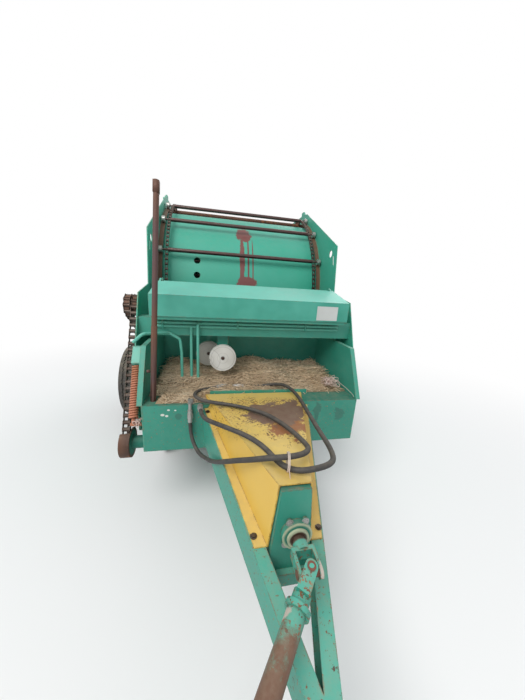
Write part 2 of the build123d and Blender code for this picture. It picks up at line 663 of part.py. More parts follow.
upper_pipe = bar((-PIPE_HALF, pipe_y, PIPE_HEIGHTS[0]), (PIPE_HALF, pipe_y, PIPE_HEIGHTS[0]), PIPE_R)
branch_y = pipe_y - 2 * PIPE_R - WALL
upper_pipe += bent_pipe(
    [(-330, pipe_y, PIPE_HEIGHTS[0]), (-350, branch_y, PIPE_HEIGHTS[0]), (-350, branch_y, deck_top)], 12
)
lower_pipe = bar((-PIPE_HALF, pipe_y, PIPE_HEIGHTS[1]), (PIPE_HALF, pipe_y, PIPE_HEIGHTS[1]), PIPE_R)
lower_pipe += bar((-392, pipe_y, PIPE_HEIGHTS[1]), (-392, pipe_y, deck_top), PIPE_R)
side_pipe = bent_pipe(
    [
        (-690, -420, 1119), (-640, -413, 1167), (-525, pipe_y - 2, 1147),
        (-460, pipe_y - 2, 1108), (-452, pipe_y - 2, 1020), (-452, pipe_y - 2, deck_top),
    ],
    25,
)
save("hydraulic_pipes", Compound(children=[upper_pipe, lower_pipe, side_pipe]))

# Twine gear under the cross tube
bracket_plate = block((-330, -150), (-208, -202), (940, TUBE_Z[0]))
FRONT_PULLEY = (-194.0, 1000.0)
REAR_PULLEY = (-285.0, 985.0)
bracket_plate += bar((FRONT_PULLEY[0], -208, FRONT_PULLEY[1]), (FRONT_PULLEY[0], -330, FRONT_PULLEY[1]), 10)
bracket_plate += bar((REAR_PULLEY[0], -202, REAR_PULLEY[1]), (REAR_PULLEY[0], -120, REAR_PULLEY[1]), 10)
save("twine_bracket", bracket_plate)


def pulley(centre, y0, y1):
    start = (centre[0], y0, centre[1])
    end = (centre[0], y1, centre[1])
    return bar(start, end, 85) - bar(start, end, 10 + PIN_GAP)


save("twine_pulley_front", pulley(FRONT_PULLEY, -322, -292))
save("twine_pulley_rear", pulley(REAR_PULLEY, -160, -130))

# Drawbar
nose_x = DRAWBAR_REAR_X - DRAWBAR_SLOPE_X * (BEAM_FRONT_Y - DRAWBAR_NOSE_Y)


def drawbar_section(y, outer_x, top_z, depth):
    """A channel's section, its web outside and its two flanges towards the middle."""
    web = outer_x - FLANGE
    toe = outer_x - DRAWBAR_FLANGE
    low_z = top_z - depth
    outline = [
        (outer_x, top_z), (toe, top_z), (toe, top_z - FLANGE), (web, top_z - FLANGE),
        (web, low_z + FLANGE), (toe, low_z + FLANGE), (toe, low_z), (outer_x, low_z),
    ]
    return make_face(Polyline(*[(x, y, z) for x, z in outline], close=True))


def drawbar_outline(y, outer_x, top_z, depth):
    """The section between the two beams' outer faces."""
    corners = [(outer_x, top_z), (-outer_x, top_z), (-outer_x, top_z - depth), (outer_x, top_z - depth)]
    return make_face(Polyline(*[(x, y, z) for x, z in corners], close=True))


beam_rear = (BEAM_FRONT_Y, DRAWBAR_REAR_X, DRAWBAR_REAR_TOP_Z, DRAWBAR_REAR_DEPTH)
beam_nose = (DRAWBAR_NOSE_Y, nose_x, DRAWBAR_NOSE_TOP_Z, DRAWBAR_NOSE_DEPTH)
half_beam = loft([drawbar_section(*beam_rear), drawbar_section(*beam_nose)])
half_beam &= block((0, DRAWBAR_REAR_X + 1), (DRAWBAR_NOSE_Y - 1, BEAM_FRONT_Y + 1), (0, BEAM_TOP_Z))
drawbar_inside = loft([drawbar_outline(*beam_rear), drawbar_outline(*beam_nose)])
CROSS_PLATE_Y = -1266.0
PLATE_FOOT_Z = 540.0
GEARBOX_LENGTH = 160.0
GEARBOX_Z = (590.0, 800.0)
front_tie = block((-DRAWBAR_REAR_X, DRAWBAR_REAR_X), (CROSS_PLATE_Y - 24, CROSS_PLATE_Y + 16), (480, PLATE_FOOT_Z))
rear_tie = block((-DRAWBAR_REAR_X, DRAWBAR_REAR_X), (-750, -700), (555, GEARBOX_Z[0] - SEAT_GAP))
drawbar = half_beam + mirrored(half_beam) + (front_tie & drawbar_inside) + (rear_tie & drawbar_inside)
save("drawbar", drawbar)

hitch_neck = block((-40, 40), (HITCH_Y + 40, DRAWBAR_NOSE_Y), (HITCH_Z - 50, HITCH_Z + 50))
hitch_eye = Pos(0, HITCH_Y, HITCH_Z) * Cylinder(HITCH_EYE_R, HITCH_THICK)
hitch_eye += block((-32, 32), (HITCH_Y, HITCH_Y + 45), (HITCH_Z - HITCH_THICK / 2, HITCH_Z + HITCH_THICK / 2))
hitch = hitch_neck + hitch_eye
hitch -= Pos(0, HITCH_Y, HITCH_Z) * Cylinder(HITCH_HOLE_R, HITCH_THICK * 4)

# Parking stand, pinned under the hitch neck
STAND_PIVOT = (-1640.0, 415.0)
STAND_FOOT_Y = -1660.0
STAND_HALF_DEPTH = 18.0
stand_ear = block((32, 40), (-1670, -1602), (395, HITCH_Z - 50))
hitch += stand_ear + mirrored(stand_ear) + disc(-40, 40, STAND_PIVOT, 10)
save("hitch_eye", hitch)
leg_y = (STAND_PIVOT[0] - STAND_HALF_DEPTH, STAND_PIVOT[0] + STAND_HALF_DEPTH)
leg = block((-25, 25), leg_y, (8, STAND_PIVOT[1]))
leg += disc(-25, 25, STAND_PIVOT, STAND_HALF_DEPTH)
leg += block((-75, 75), (STAND_FOOT_Y - 70, STAND_FOOT_Y + 70), (0, 8))
leg -= disc(-40, 40, STAND_PIVOT, 10 + PIN_GAP)
save("stand_leg", leg)

# Folded cover over the gearbox and shaft, with feet along the beams' tops and a lip over the cross-beam
COVER_FRONT_Y = -1255.0
COVER_LIP_Y = -475.0
cover_rear_y = BEAM_FRONT_Y - SEAT_GAP
drawbar_fall = (DRAWBAR_REAR_TOP_Z - DRAWBAR_NOSE_TOP_Z) / (BEAM_FRONT_Y - DRAWBAR_NOSE_Y)


def cover_section(y, foot_half, top_half, top_z):
    """The cover's folded sheet across the drawbar at one place along it."""
    ahead = BEAM_FRONT_Y - y
    flange_x = DRAWBAR_REAR_X - DRAWBAR_SLOPE_X * ahead - 5
    foot_z = DRAWBAR_REAR_TOP_Z - drawbar_fall * ahead + SEAT_GAP
    half = [
        (top_half, top_z), (foot_half, foot_z + SHEET), (flange_x, foot_z + SHEET), (flange_x, foot_z),
        (foot_half - SHEET, foot_z), (top_half - SHEET, top_z - SHEET),
    ]
    other = [(-x, z) for x, z in reversed(half)]
    return make_face(Polyline(*[(x, y, z) for x, z in half + other], close=True))


def lip_section(y, foot_half, top_half, top_z, inset):
    foot_z = BEAM_TOP_Z + SEAT_GAP
    corners = [(foot_half, foot_z), (top_half, top_z), (-top_half, top_z), (-foot_half, foot_z)]
    edge = []
    for x, z in corners:
        edge.append((x - math.copysign(inset, x), y, z - (inset if z == top_z else 0)))
    return make_face(Polyline(*edge, close=True))


cover = loft([cover_section(cover_rear_y, 280, 262, 832), cover_section(COVER_FRONT_Y, 77, 55, 872)])
lip_rear = (COVER_LIP_Y, 300, 296, 824)
lip_front = (cover_rear_y, 270, 262, 832)
lip = loft([lip_section(*lip_rear, 0), lip_section(*lip_front, 0)])
lip -= loft([lip_section(*lip_rear, SHEET), lip_section(*lip_front, SHEET)])
cover += lip
save("drawbar_cover", cover)

# Gearbox, input shaft and the plate that carries the shaft's front bearing
gearbox_front_y = BEAM_FRONT_Y - GEARBOX_LENGTH
gearbox = block((-120, 120), (gearbox_front_y, BEAM_FRONT_Y), GEARBOX_Z)
save("gearbox", gearbox)


def along_y(x, y0, y1, z, radius):
    return bar((x, y0, z), (x, y1, z), radius)


input_shaft = along_y(PTO_CROSS[0], gearbox_front_y, PTO_CROSS[1] + 70, PTO_Z, PTO_INPUT_R)
plate_y = (CROSS_PLATE_Y - 4, CROSS_PLATE_Y + 4)
plate_corners = [(-76, PLATE_FOOT_Z), (-50, 862), (50, 862), (76, PLATE_FOOT_Z)]
plate_face = make_face(Polyline(*[(x, plate_y[0], z) for x, z in plate_corners], close=True))
bearing_plate = extrude(plate_face, amount=plate_y[1] - plate_y[0], dir=(0, 1, 0))
bearing_plate += along_y(PTO_CROSS[0], plate_y[0] - 21, plate_y[0], PTO_Z, 50)
bearing_plate += along_y(PTO_CROSS[0], plate_y[0] - 30, plate_y[0], PTO_Z, 36)
for x, z in ((-26, 46), (26, 46), (-34, -40)):
    bearing_plate += along_y(PTO_CROSS[0] + x, plate_y[0] - 10, plate_y[0], PTO_Z + z, 8)
bearing_plate -= along_y(PTO_CROSS[0], plate_y[0] - 40, plate_y[1] + 10, PTO_Z, PTO_INPUT_R + PIN_GAP)
save("bearing_plate", bearing_plate)

# Universal joint and telescopic shaft
cross_at = Vector(*PTO_CROSS)
heading = Vector(*PTO_HEADING).normalized()
YOKE_REACH = 68.0
YOKE_HALF = 36.0
ARM_THICK = 10.0
CAP_R = 12.0
EAR_R = 18.0


def yoke(plane):
    """Two eared arms either side of the cross and a hub behind, in a plane whose z is the shaft's way out."""
    hub = plane * Pos(0, 0, YOKE_REACH) * Cylinder(24, 30)
    bridge = plane * Pos(0, 0, YOKE_REACH - 12) * Box(2 * YOKE_HALF, 2 * EAR_R, 14)
    whole = hub + bridge
    arm_length = YOKE_REACH - 12
    for side in (-1, 1):
        arm_x = side * (YOKE_HALF - ARM_THICK / 2)
        ear = plane * Pos(arm_x, 0, 0) * Rot(0, 90, 0) * Cylinder(EAR_R, ARM_THICK)
        whole += ear + plane * Pos(arm_x, 0, arm_length / 2) * Box(ARM_THICK, 2 * EAR_R, arm_length)
        whole -= plane * Pos(arm_x, 0, 0) * Rot(0, 90, 0) * Cylinder(CAP_R + PIN_GAP, ARM_THICK + 2)
    return whole


# The inner yoke's pins lie across, the outer yoke's pins stand square to them and to the tube.
across = Vector(1, 0, 0)
upright = heading.cross(across).normalized()
inner_plane = Plane(origin=cross_at, x_dir=across, z_dir=(0, 1, 0))
outer_plane = Plane(origin=cross_at, x_dir=upright, z_dir=heading)
save("pto_input_shaft", input_shaft + yoke(inner_plane))
cross_reach = YOKE_HALF + 2
cross_piece = bar(cross_at - across * cross_reach, cross_at + across * cross_reach, CAP_R)
cross_piece += bar(cross_at - upright * cross_reach, cross_at + upright * cross_reach, CAP_R)
save("pto_cross", cross_piece)


def shaft_bar(start, end, radius):
    """A stretch of the shaft, by its distances from the cross."""
    return bar(cross_at + heading * start, cross_at + heading * end, radius)


outer_shaft = yoke(outer_plane)
outer_shaft += shaft_bar(YOKE_REACH + 14, YOKE_REACH + 28, 33)
outer_shaft += shaft_bar(YOKE_REACH + 15, PTO_OUTER_TUBE_END, PTO_OUTER_TUBE_R)
outer_shaft += shaft_bar(PTO_OUTER_TUBE_END - 24, PTO_OUTER_TUBE_END, PTO_OUTER_TUBE_R + 6)
outer_shaft += shaft_bar(PTO_OUTER_TUBE_END, PTO_LENGTH - PTO_BORE_DEPTH - 20, PTO_INNER_TUBE_R)
outer_shaft += shaft_bar(PTO_LENGTH - PTO_BORE_DEPTH - 20, PTO_LENGTH, PTO_END_HUB_R)
outer_shaft -= shaft_bar(PTO_LENGTH - PTO_BORE_DEPTH, PTO_LENGTH + 1, PTO_BORE_R)
save("pto_shaft", outer_shaft)

# Main drive sprockets and chains on the right side, and the guard round the lower sprocket
cheek_out_x = -cheek_x[1]
sprocket_width = DRIVE_CHAIN_WIDTH - 2 * DRIVE_PLATE - 2


def drive_chain(x, first, first_r, second, second_r):
    """A drive chain's loop with its rollers' places."""
    path = belt_path(first, first_r, second, second_r)
    rollers = [place for number, place in spaced_points(path, link_count(path, DRIVE_PITCH), 0)]
    outer = belt_path(first, first_r, second, second_r, DRIVE_CHAIN_HEIGHT / 2)
    inner = belt_path(first, first_r, second, second_r, -DRIVE_CHAIN_HEIGHT / 2)
    chain = chain_band(outer, inner, x, DRIVE_CHAIN_WIDTH, DRIVE_PLATE, DRIVE_ROLLER_R, rollers)
    return chain, rollers


def drive_sprocket(x, centre, radius, rollers):
    return sprocket(x, sprocket_width, centre, radius, DRIVE_ROLLER_R, SPROCKET_TIP, rollers)


conveyor_centre = on_ring(LOOP_MIDDLE_R, FRONT_LOOP_END)
lower_run = (LOWER_SPROCKET, LOWER_SPROCKET_R, UPPER_SPROCKET, UPPER_SPROCKET_R)
rear_run = (UPPER_SPROCKET, UPPER_SPROCKET_R, conveyor_centre, CONVEYOR_SPROCKET_R)
inner_chain, inner_rollers = drive_chain(DRIVE_X, *lower_run)
outer_chain, outer_rollers = drive_chain(OUTER_DRIVE_X, *rear_run)
save("drive_chains", Compound(children=[inner_chain, outer_chain]))

HUB_R = 22.0
hub_x = DRIVE_X - sprocket_width / 2
outer_hub_x = OUTER_DRIVE_X - sprocket_width / 2
lower_wheel = drive_sprocket(DRIVE_X, LOWER_SPROCKET, LOWER_SPROCKET_R, inner_rollers)
lower_wheel += disc(hub_x, cheek_out_x, LOWER_SPROCKET, HUB_R)
upper_wheel = drive_sprocket(DRIVE_X, UPPER_SPROCKET, UPPER_SPROCKET_R, inner_rollers)
upper_wheel += drive_sprocket(OUTER_DRIVE_X, UPPER_SPROCKET, UPPER_SPROCKET_R, outer_rollers)
upper_wheel += disc(outer_hub_x, -WALL_OUT_X, UPPER_SPROCKET, HUB_R)
rear_wheel = drive_sprocket(OUTER_DRIVE_X, conveyor_centre, CONVEYOR_SPROCKET_R, outer_rollers)
rear_wheel += disc(outer_hub_x, -WALL_OUT_X, conveyor_centre, HUB_R)

guard_x = (DRIVE_X - GUARD_HALF_WIDTH, DRIVE_X + GUARD_HALF_WIDTH)
guard = disc(*guard_x, LOWER_SPROCKET, GUARD_R)
guard -= disc(guard_x[0] - 1, guard_x[1] - SHEET, LOWER_SPROCKET, GUARD_R - SHEET)
facing = Vector(0, UPPER_SPROCKET[0] - LOWER_SPROCKET[0], UPPER_SPROCKET[1] - LOWER_SPROCKET[1]).normalized()
way_half = LOWER_SPROCKET_R + DRIVE_CHAIN_HEIGHT / 2 + RUNNING_GAP
way_corners = []
for reach, side in ((0, -1), (0, 1), (3 * GUARD_R, 1), (3 * GUARD_R, -1)):
    way_corners.append((
        LOWER_SPROCKET[0] + facing.Y * reach - facing.Z * side * way_half,
        LOWER_SPROCKET[1] + facing.Z * reach + facing.Y * side * way_half,
    ))
guard -= plate(way_corners, guard_x[0] - 1, guard_x[1] - SHEET)
guard += disc(guard_x[1] - SHEET, cheek_out_x, LOWER_SPROCKET, HUB_R + 14)
guard -= disc(guard_x[0], cheek_out_x + 1, LOWER_SPROCKET, HUB_R + SEAT_GAP)
save("drive_sprockets", Compound(children=[lower_wheel, upper_wheel, rear_wheel, guard]))

# Spring of the chain's tensioner, between a bracket on the cheek and a pin at its foot
SPRING_X = -675.0
SPRING_TOP = (-430.0, 992.0)
SPRING_FOOT = (-560.0, 724.0)
SPRING_R = 20.0
SPRING_PIN_R = 9.0
spring_way = (Vector(0, *SPRING_FOOT) - Vector(0, *SPRING_TOP)).normalized()
spring_square = Vector(0, -spring_way.Z, spring_way.Y) * (SPRING_R + WALL)
bracket_outline = [
    (-352, 1084), (-408, 1094), (-462, 1014),
    (SPRING_TOP[0] - spring_square.Y, SPRING_TOP[1] - spring_square.Z),
    (SPRING_TOP[0] + spring_square.Y, SPRING_TOP[1] + spring_square.Z),
]
save("spring_bracket", plate(bracket_outline, SPRING_X - SPRING_R, cheek_out_x))
spring_top = Vector(SPRING_X, *SPRING_TOP) + spring_way * SEAT_GAP
spring_foot = Vector(SPRING_X, *SPRING_FOOT)
spring_pin = Vector(SPRING_X, *SPRING_FOOT) + spring_way * 24
spring = bar(spring_top, spring_foot, SPRING_R)
spring -= bar(spring_top + spring_way * 14, spring_foot - spring_way * 14, SPRING_R - 5)
spring += bar(spring_foot, spring_pin, SPRING_PIN_R)
spring += disc(SPRING_X - 12, cheek_out_x, (spring_pin.Y, spring_pin.Z), SPRING_PIN_R)
save("tension_spring", spring)

# Mast
mast = bar((-579, -522, BEAM_TOP_Z - 20), (-530, -440, 1920), 14)
mast -= block((-700, -500), (-600, -400), (0, BEAM_TOP_Z))
save("mast", mast)

# Pickup: frame, gauge wheels, tined reel, hoops and the pan behind them
side_outline = [
    (PICKUP_PIVOT[0] + 40, PICKUP_PIVOT[1] + 25), (PICKUP_PIVOT[0] + 40, PICKUP_PIVOT[1] - 40),
    (REEL_Y + 20, REEL_Z - 150), (REEL_Y - 140, REEL_Z - 80), (REEL_Y - 140, REEL_Z + 90),
    (REEL_Y, REEL_Z + 170),
]
side_cut = (PICKUP_SIDE_X[0] - 1, PICKUP_SIDE_X[1] + 1)
pickup_side = plate(side_outline, *PICKUP_SIDE_X)
pickup_side -= disc(*side_cut, (REEL_Y, REEL_Z), REEL_SHAFT_R + PIN_GAP)
pickup_side -= disc(*side_cut, PICKUP_PIVOT, PICKUP_PIN_R + PIN_GAP)
TIE_R = 20.0
tie_at = (REEL_Y + 260, REEL_Z + 110)
pickup_frame = pickup_side + mirrored(pickup_side) + disc(-PICKUP_SIDE_X[0], PICKUP_SIDE_X[0], tie_at, TIE_R)
arm_x = (PICKUP_SIDE_X[1] + WALL, PICKUP_SIDE_X[1] + WALL + 8)
arm_y = (GAUGE_WHEEL[0] - 25, GAUGE_WHEEL[0] + 25)
gauge_arm = block(arm_x, arm_y, (GAUGE_WHEEL[1], REEL_Z + 50)) + disc(*arm_x, GAUGE_WHEEL, 25)
gauge_arm += block((PICKUP_SIDE_X[1], arm_x[0]), arm_y, (REEL_Z - 30, REEL_Z + 50))
GAUGE_PIN_R = 12.0
gauge_arm += disc(arm_x[1], GAUGE_WHEEL_X + 34, GAUGE_WHEEL, GAUGE_PIN_R)
pickup_frame += gauge_arm + mirrored(gauge_arm)
save("pickup_frame", pickup_frame)


def gauge_edge(offset, out):
    return (GAUGE_WHEEL_X + offset, GAUGE_WHEEL[0], GAUGE_WHEEL[1] + out)


gauge_bore_r = GAUGE_PIN_R + PIN_GAP
gauge_section = [
    (-28, gauge_bore_r), (-28, 45), (-12, 50), (-12, 105), (-26, 118), (-24, GAUGE_WHEEL_R - 8),
    (-14, GAUGE_WHEEL_R),
]
gauge_half = gauge_section + [(-x, out) for x, out in reversed(gauge_section)]
gauge_face = make_face(Polyline(*[gauge_edge(*p) for p in gauge_half], close=True))
gauge_wheel = revolve(gauge_face, Axis((0, *GAUGE_WHEEL), (1, 0, 0)), 360)
save("gauge_wheel_left", gauge_wheel)
save("gauge_wheel_right", mirrored(gauge_wheel))

reel_at = (REEL_Y, REEL_Z)
REEL_HALF = PICKUP_SIDE_X[1] + 4
DISC_X = PICKUP_SIDE_X[0] - 30
reel = disc(-REEL_HALF, REEL_HALF, reel_at, REEL_SHAFT_R)
for x in (-DISC_X, 0, DISC_X):
    reel += disc(x - 3, x + 3, reel_at, TINE_BAR_R + 24)
for quarter in range(4):
    turn = math.radians(45 + 90 * quarter)
    out = (math.cos(turn), math.sin(turn))
    centre = (REEL_Y + TINE_BAR_R * out[0], REEL_Z + TINE_BAR_R * out[1])
    reel += disc(-DISC_X - 1, DISC_X + 1, centre, 14)
    for column in range(TINE_COLUMNS):
        x = TINE_PITCH * (column - (TINE_COLUMNS - 1) / 2)
        tip = (x, REEL_Y + TINE_TIP_R * out[0], REEL_Z + TINE_TIP_R * out[1])
        reel += bar((x, *centre), tip, TINE_R)
save("pickup_reel", reel)

HOOP_HALF = 20.0
HOOP_SHEET = 3.0
hoops = []
for column in range(TINE_COLUMNS - 1):
    x = TINE_PITCH * (column - (TINE_COLUMNS - 2) / 2)
    strip = (x - HOOP_HALF, x + HOOP_HALF)
    wide = (x - HOOP_HALF - 1, x + HOOP_HALF + 1)
    ring = disc(*strip, reel_at, HOOP_R) - disc(*wide, reel_at, HOOP_R - HOOP_SHEET)
    ring -= block(wide, (REEL_Y + 60, REEL_Y + 400), (REEL_Z - 300, REEL_Z + 60))
    ring += block(strip, (REEL_Y, tie_at[0] + 2), (REEL_Z + HOOP_R - HOOP_SHEET, REEL_Z + HOOP_R))
    ring += block(strip, (tie_at[0] - 2, tie_at[0] + 2), (tie_at[1] + TIE_R, REEL_Z + HOOP_R))
    hoops.append(ring)
save("pickup_hoops", Compound(children=hoops))

PAN_REAR_Y = 560.0
pan_front_y = PICKUP_PIVOT[0] - 155
feed_pan = plate(
    [(pan_front_y, 565), (PAN_REAR_Y, 620), (PAN_REAR_Y, 625), (pan_front_y, 570)], -RAIL_X[0], RAIL_X[0]
)
save("feed_pan", feed_pan)

# Hoses that lie over the cover, with their steel ends
HOSE_R = 10.0
FERRULE_R = 13.0


def cord(name, points, radius):
    """A tube along straight runs, each bend as large as its two runs allow."""
    places = [Vector(*p) for p in points]
    radii = []
    for before, here, after in zip(places, places[1:], places[2:]):
        turn = math.radians((here - before).get_angle(after - here))
        shorter = min((here - before).length, (after - here).length)
        radii.append(0.45 * shorter / math.tan(turn / 2))
    path = FilletPolyline(*points, radius=radii)
    tube = sweep(Plane(origin=path @ 0, z_dir=path % 0) * Circle(radius), path=path)
    share = tube.volume / (math.pi * radius ** 2 * path.length)
    print(name, "length", round(path.length), "radii", [round(r) for r in radii], "volume share", round(share, 4))
    save(name, tube)


HOSE_A = [
    (-376, -600, 721), (-376, -600, 690), (-371, -609, 646), (-358, -630, 609), (-339, -662, 586),
    (-316, -700, 580), (-293, -738, 590), (-274, -788, 614), (-256, -846, 652), (-240, -905, 694),
    (-224, -964, 740), (-200, -1024, 788), (-164, -1080, 834), (-124, -1132, 874), (-82, -1172, 908),
    (-36, -1194, 924), (16, -1192, 924), (62, -1168, 914), (90, -1125, 900), (94, -1072, 886),
    (78, -980, 875), (44, -886, 868), (-4, -802, 864), (-80, -734, 860), (-168, -682, 857),
    (-250, -646, 854), (-312, -610, 852), (-350, -562, 850), (-358, -510, 846), (-344, -460, 838),
    (-312, -420, 831), (-270, -396, 826.3), (-234, -380, 826.3),
]
HOSE_B = [
    (-318, -646, 812), (-314, -686, 820), (-304, -750, 838), (-286, -820, 858), (-248, -884, 876),
    (-193, -945, 886), (-133, -998, 887), (-92, -1044, 885), (-62, -1096, 884), (-44, -1148, 884),
    (-21, -1192, 884), (18, -1222, 889), (67, -1233, 901), (116, -1222, 900), (155, -1192, 890),
    (178, -1148, 880), (190, -1085, 876), (196, -1010, 872), (202, -930, 869), (209, -840, 867),
    (216, -750, 866), (220, -660, 868), (214, -580, 873), (196, -506, 876), (164, -446, 868),
    (116, -402, 848), (54, -382, 832), (-6, -374, 826.3), (-60, -371, 826.3),
]


def ferrule(end, inner, length=70.0):
    """The steel end that a hose comes out of, straight behind the hose's first or last point."""
    way = (Vector(*end) - Vector(*inner)).normalized()
    return bar(Vector(*end), Vector(*end) + way * length, FERRULE_R)


fitting_a = block((-390, -362), (-573, -545), (BEAM_TOP_Z, 832))
fitting_a += bar((-376, -560, 822.5), (-376, -600, 822.5), PIPE_R)
fitting_a += bar((-376, -600, 831.5), (-376, -600, 780), PIPE_R)
fitting_a += ferrule(HOSE_A[0], HOSE_A[1])
fitting_b = bar((-323, BEAM_FRONT_Y, 804), (-323, BEAM_FRONT_Y - 24, 804), 15)
fitting_b += ferrule(HOSE_B[0], HOSE_B[1], 50.0)
fittings = [fitting_a, fitting_b, ferrule(HOSE_A[-1], HOSE_A[-2]), ferrule(HOSE_B[-1], HOSE_B[-2])]
save("hose_fittings", Compound(children=fittings))
cord("hose_a", HOSE_A, HOSE_R)
cord("hose_b", HOSE_B, HOSE_R)
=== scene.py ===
import json
import math
import random

import bmesh
import bpy
from mathutils import Matrix, Vector


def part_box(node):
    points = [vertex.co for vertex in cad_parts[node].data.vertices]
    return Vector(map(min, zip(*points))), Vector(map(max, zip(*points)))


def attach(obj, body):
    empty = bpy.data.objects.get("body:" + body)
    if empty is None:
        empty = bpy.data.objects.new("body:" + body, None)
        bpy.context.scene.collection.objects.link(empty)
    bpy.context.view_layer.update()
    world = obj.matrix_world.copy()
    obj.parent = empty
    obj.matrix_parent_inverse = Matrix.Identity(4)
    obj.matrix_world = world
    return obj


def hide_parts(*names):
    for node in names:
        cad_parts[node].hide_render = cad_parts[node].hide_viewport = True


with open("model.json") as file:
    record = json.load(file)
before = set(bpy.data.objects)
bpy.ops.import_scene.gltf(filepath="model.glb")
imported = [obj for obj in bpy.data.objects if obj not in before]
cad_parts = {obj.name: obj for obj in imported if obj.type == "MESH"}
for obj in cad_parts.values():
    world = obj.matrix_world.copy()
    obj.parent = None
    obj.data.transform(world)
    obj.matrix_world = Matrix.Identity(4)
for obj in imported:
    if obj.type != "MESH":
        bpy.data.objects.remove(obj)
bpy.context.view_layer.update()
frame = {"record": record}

# Camera, as it stood over the hitch. All lengths are in metres.
CAMERA_AT = (-0.2636, -1.870, 1.470)
CAMERA_RIGHT = (0.98001, -0.18944, 0.06076)
CAMERA_UP = (-0.00972, 0.25943, 0.96571)
CAMERA_BACK = (-0.19870, -0.94700, 0.25241)
CAMERA_LENS = 12.85

# Finish colours
DEEP_GREEN = (0.010, 0.150, 0.105)
MID_GREEN = (0.022, 0.255, 0.180)
PALE_GREEN = (0.080, 0.400, 0.300)
HOOD_GREEN = (0.028, 0.262, 0.190)
COVER_YELLOW = (0.640, 0.400, 0.055)
PALE_YELLOW = (0.700, 0.500, 0.140)
DARK_RUST = (0.045, 0.020, 0.012)
BROWN_RUST = (0.130, 0.055, 0.028)
ORANGE_RUST = (0.300, 0.110, 0.035)
PURPLE_RUST = (0.085, 0.045, 0.045)
WORN_STEEL = (0.150, 0.130, 0.115)
BRIGHT_STEEL = (0.420, 0.410, 0.390)
DUST = (0.330, 0.270, 0.190)
BLACK_RUBBER = (0.018, 0.018, 0.019)
DUSTY_RUBBER = (0.055, 0.050, 0.045)
SHEET_GREEN = (0.030, 0.360, 0.240)
HOOD_TOP = (0.130, 0.520, 0.410)
SMEAR = (0.020, 0.150, 0.108)
CREAM = (0.420, 0.450, 0.300)
ROD_BROWN = (0.085, 0.060, 0.055)
RED_RUST = (0.200, 0.055, 0.035)
PATCH_BROWN = (0.170, 0.095, 0.065)
ZINC_DULL = (0.300, 0.290, 0.270)
PLASTIC_GREY = (0.640, 0.640, 0.600)
OLD_PLASTIC = (0.380, 0.370, 0.330)
SPRING_RED = (0.460, 0.170, 0.095)
PALE_STRAW = (0.760, 0.620, 0.440)
STRAW = (0.640, 0.480, 0.300)
OLD_STRAW = (0.430, 0.310, 0.190)
DARK_STRAW = (0.260, 0.185, 0.120)
PAPER = (0.520, 0.540, 0.520)
PAPER_SHADE = (0.440, 0.460, 0.440)
TWINE_PINK = (0.620, 0.420, 0.360)
TWINE_WHITE = (0.660, 0.600, 0.520)


def new_object(name, data):
    """Make an object and link it to the scene."""
    thing = bpy.data.objects.new(name, data)
    bpy.context.scene.collection.objects.link(thing)
    return thing


def place_camera():
    camera = new_object("camera", bpy.data.cameras.new("camera"))
    turn = Matrix((CAMERA_RIGHT, CAMERA_UP, CAMERA_BACK)).transposed().to_4x4()
    camera.matrix_world = Matrix.Translation(CAMERA_AT) @ turn
    camera.data.lens = CAMERA_LENS
    camera.data.sensor_width = 36.0
    camera.data.clip_start = 0.01
    bpy.context.scene.camera = camera


place_camera()

# Hoses, whose points are those of the solids' route
HOSE_RADIUS = 0.010
NUT_RADIUS = 0.0165
HOSE_A = [
    (-0.376, -0.600, 0.721), (-0.376, -0.600, 0.690), (-0.371, -0.609, 0.646), (-0.358, -0.630, 0.609),
    (-0.339, -0.662, 0.586), (-0.316, -0.700, 0.580), (-0.293, -0.738, 0.590), (-0.274, -0.788, 0.614),
    (-0.256, -0.846, 0.652), (-0.240, -0.905, 0.694), (-0.224, -0.964, 0.740), (-0.200, -1.024, 0.788),
    (-0.164, -1.080, 0.834), (-0.124, -1.132, 0.874), (-0.082, -1.172, 0.908), (-0.036, -1.194, 0.924),
    (0.016, -1.192, 0.924), (0.062, -1.168, 0.914), (0.090, -1.125, 0.900), (0.094, -1.072, 0.886),
    (0.078, -0.980, 0.875), (0.044, -0.886, 0.868), (-0.004, -0.802, 0.864), (-0.080, -0.734, 0.860),
    (-0.168, -0.682, 0.857), (-0.250, -0.646, 0.854), (-0.312, -0.610, 0.852), (-0.350, -0.562, 0.850),
    (-0.358, -0.510, 0.846), (-0.344, -0.460, 0.838), (-0.312, -0.420, 0.831), (-0.270, -0.396, 0.8263),
    (-0.234, -0.380, 0.8263),
]
HOSE_B = [
    (-0.318, -0.646, 0.812), (-0.314, -0.686, 0.820), (-0.304, -0.750, 0.838), (-0.286, -0.820, 0.858),
    (-0.248, -0.884, 0.876), (-0.193, -0.945, 0.886), (-0.133, -0.998, 0.887), (-0.092, -1.044, 0.885),
    (-0.062, -1.096, 0.884), (-0.044, -1.148, 0.884), (-0.021, -1.192, 0.884), (0.018, -1.222, 0.889),
    (0.067, -1.233, 0.901), (0.116, -1.222, 0.900), (0.155, -1.192, 0.890), (0.178, -1.148, 0.880),
    (0.190, -1.085, 0.876), (0.196, -1.010, 0.872), (0.202, -0.930, 0.869), (0.209, -0.840, 0.867),
    (0.216, -0.750, 0.866), (0.220, -0.660, 0.868), (0.214, -0.580, 0.873), (0.196, -0.506, 0.876),
    (0.164, -0.446, 0.868), (0.116, -0.402, 0.848), (0.054, -0.382, 0.832), (-0.006, -0.374, 0.8263),
    (-0.060, -0.371, 0.8263),
]


def new_piece(name, data, body="chassis"):
    """Link a new piece, and say what it rides on."""
    piece = new_object(name, data)
    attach(piece, body)
    return piece


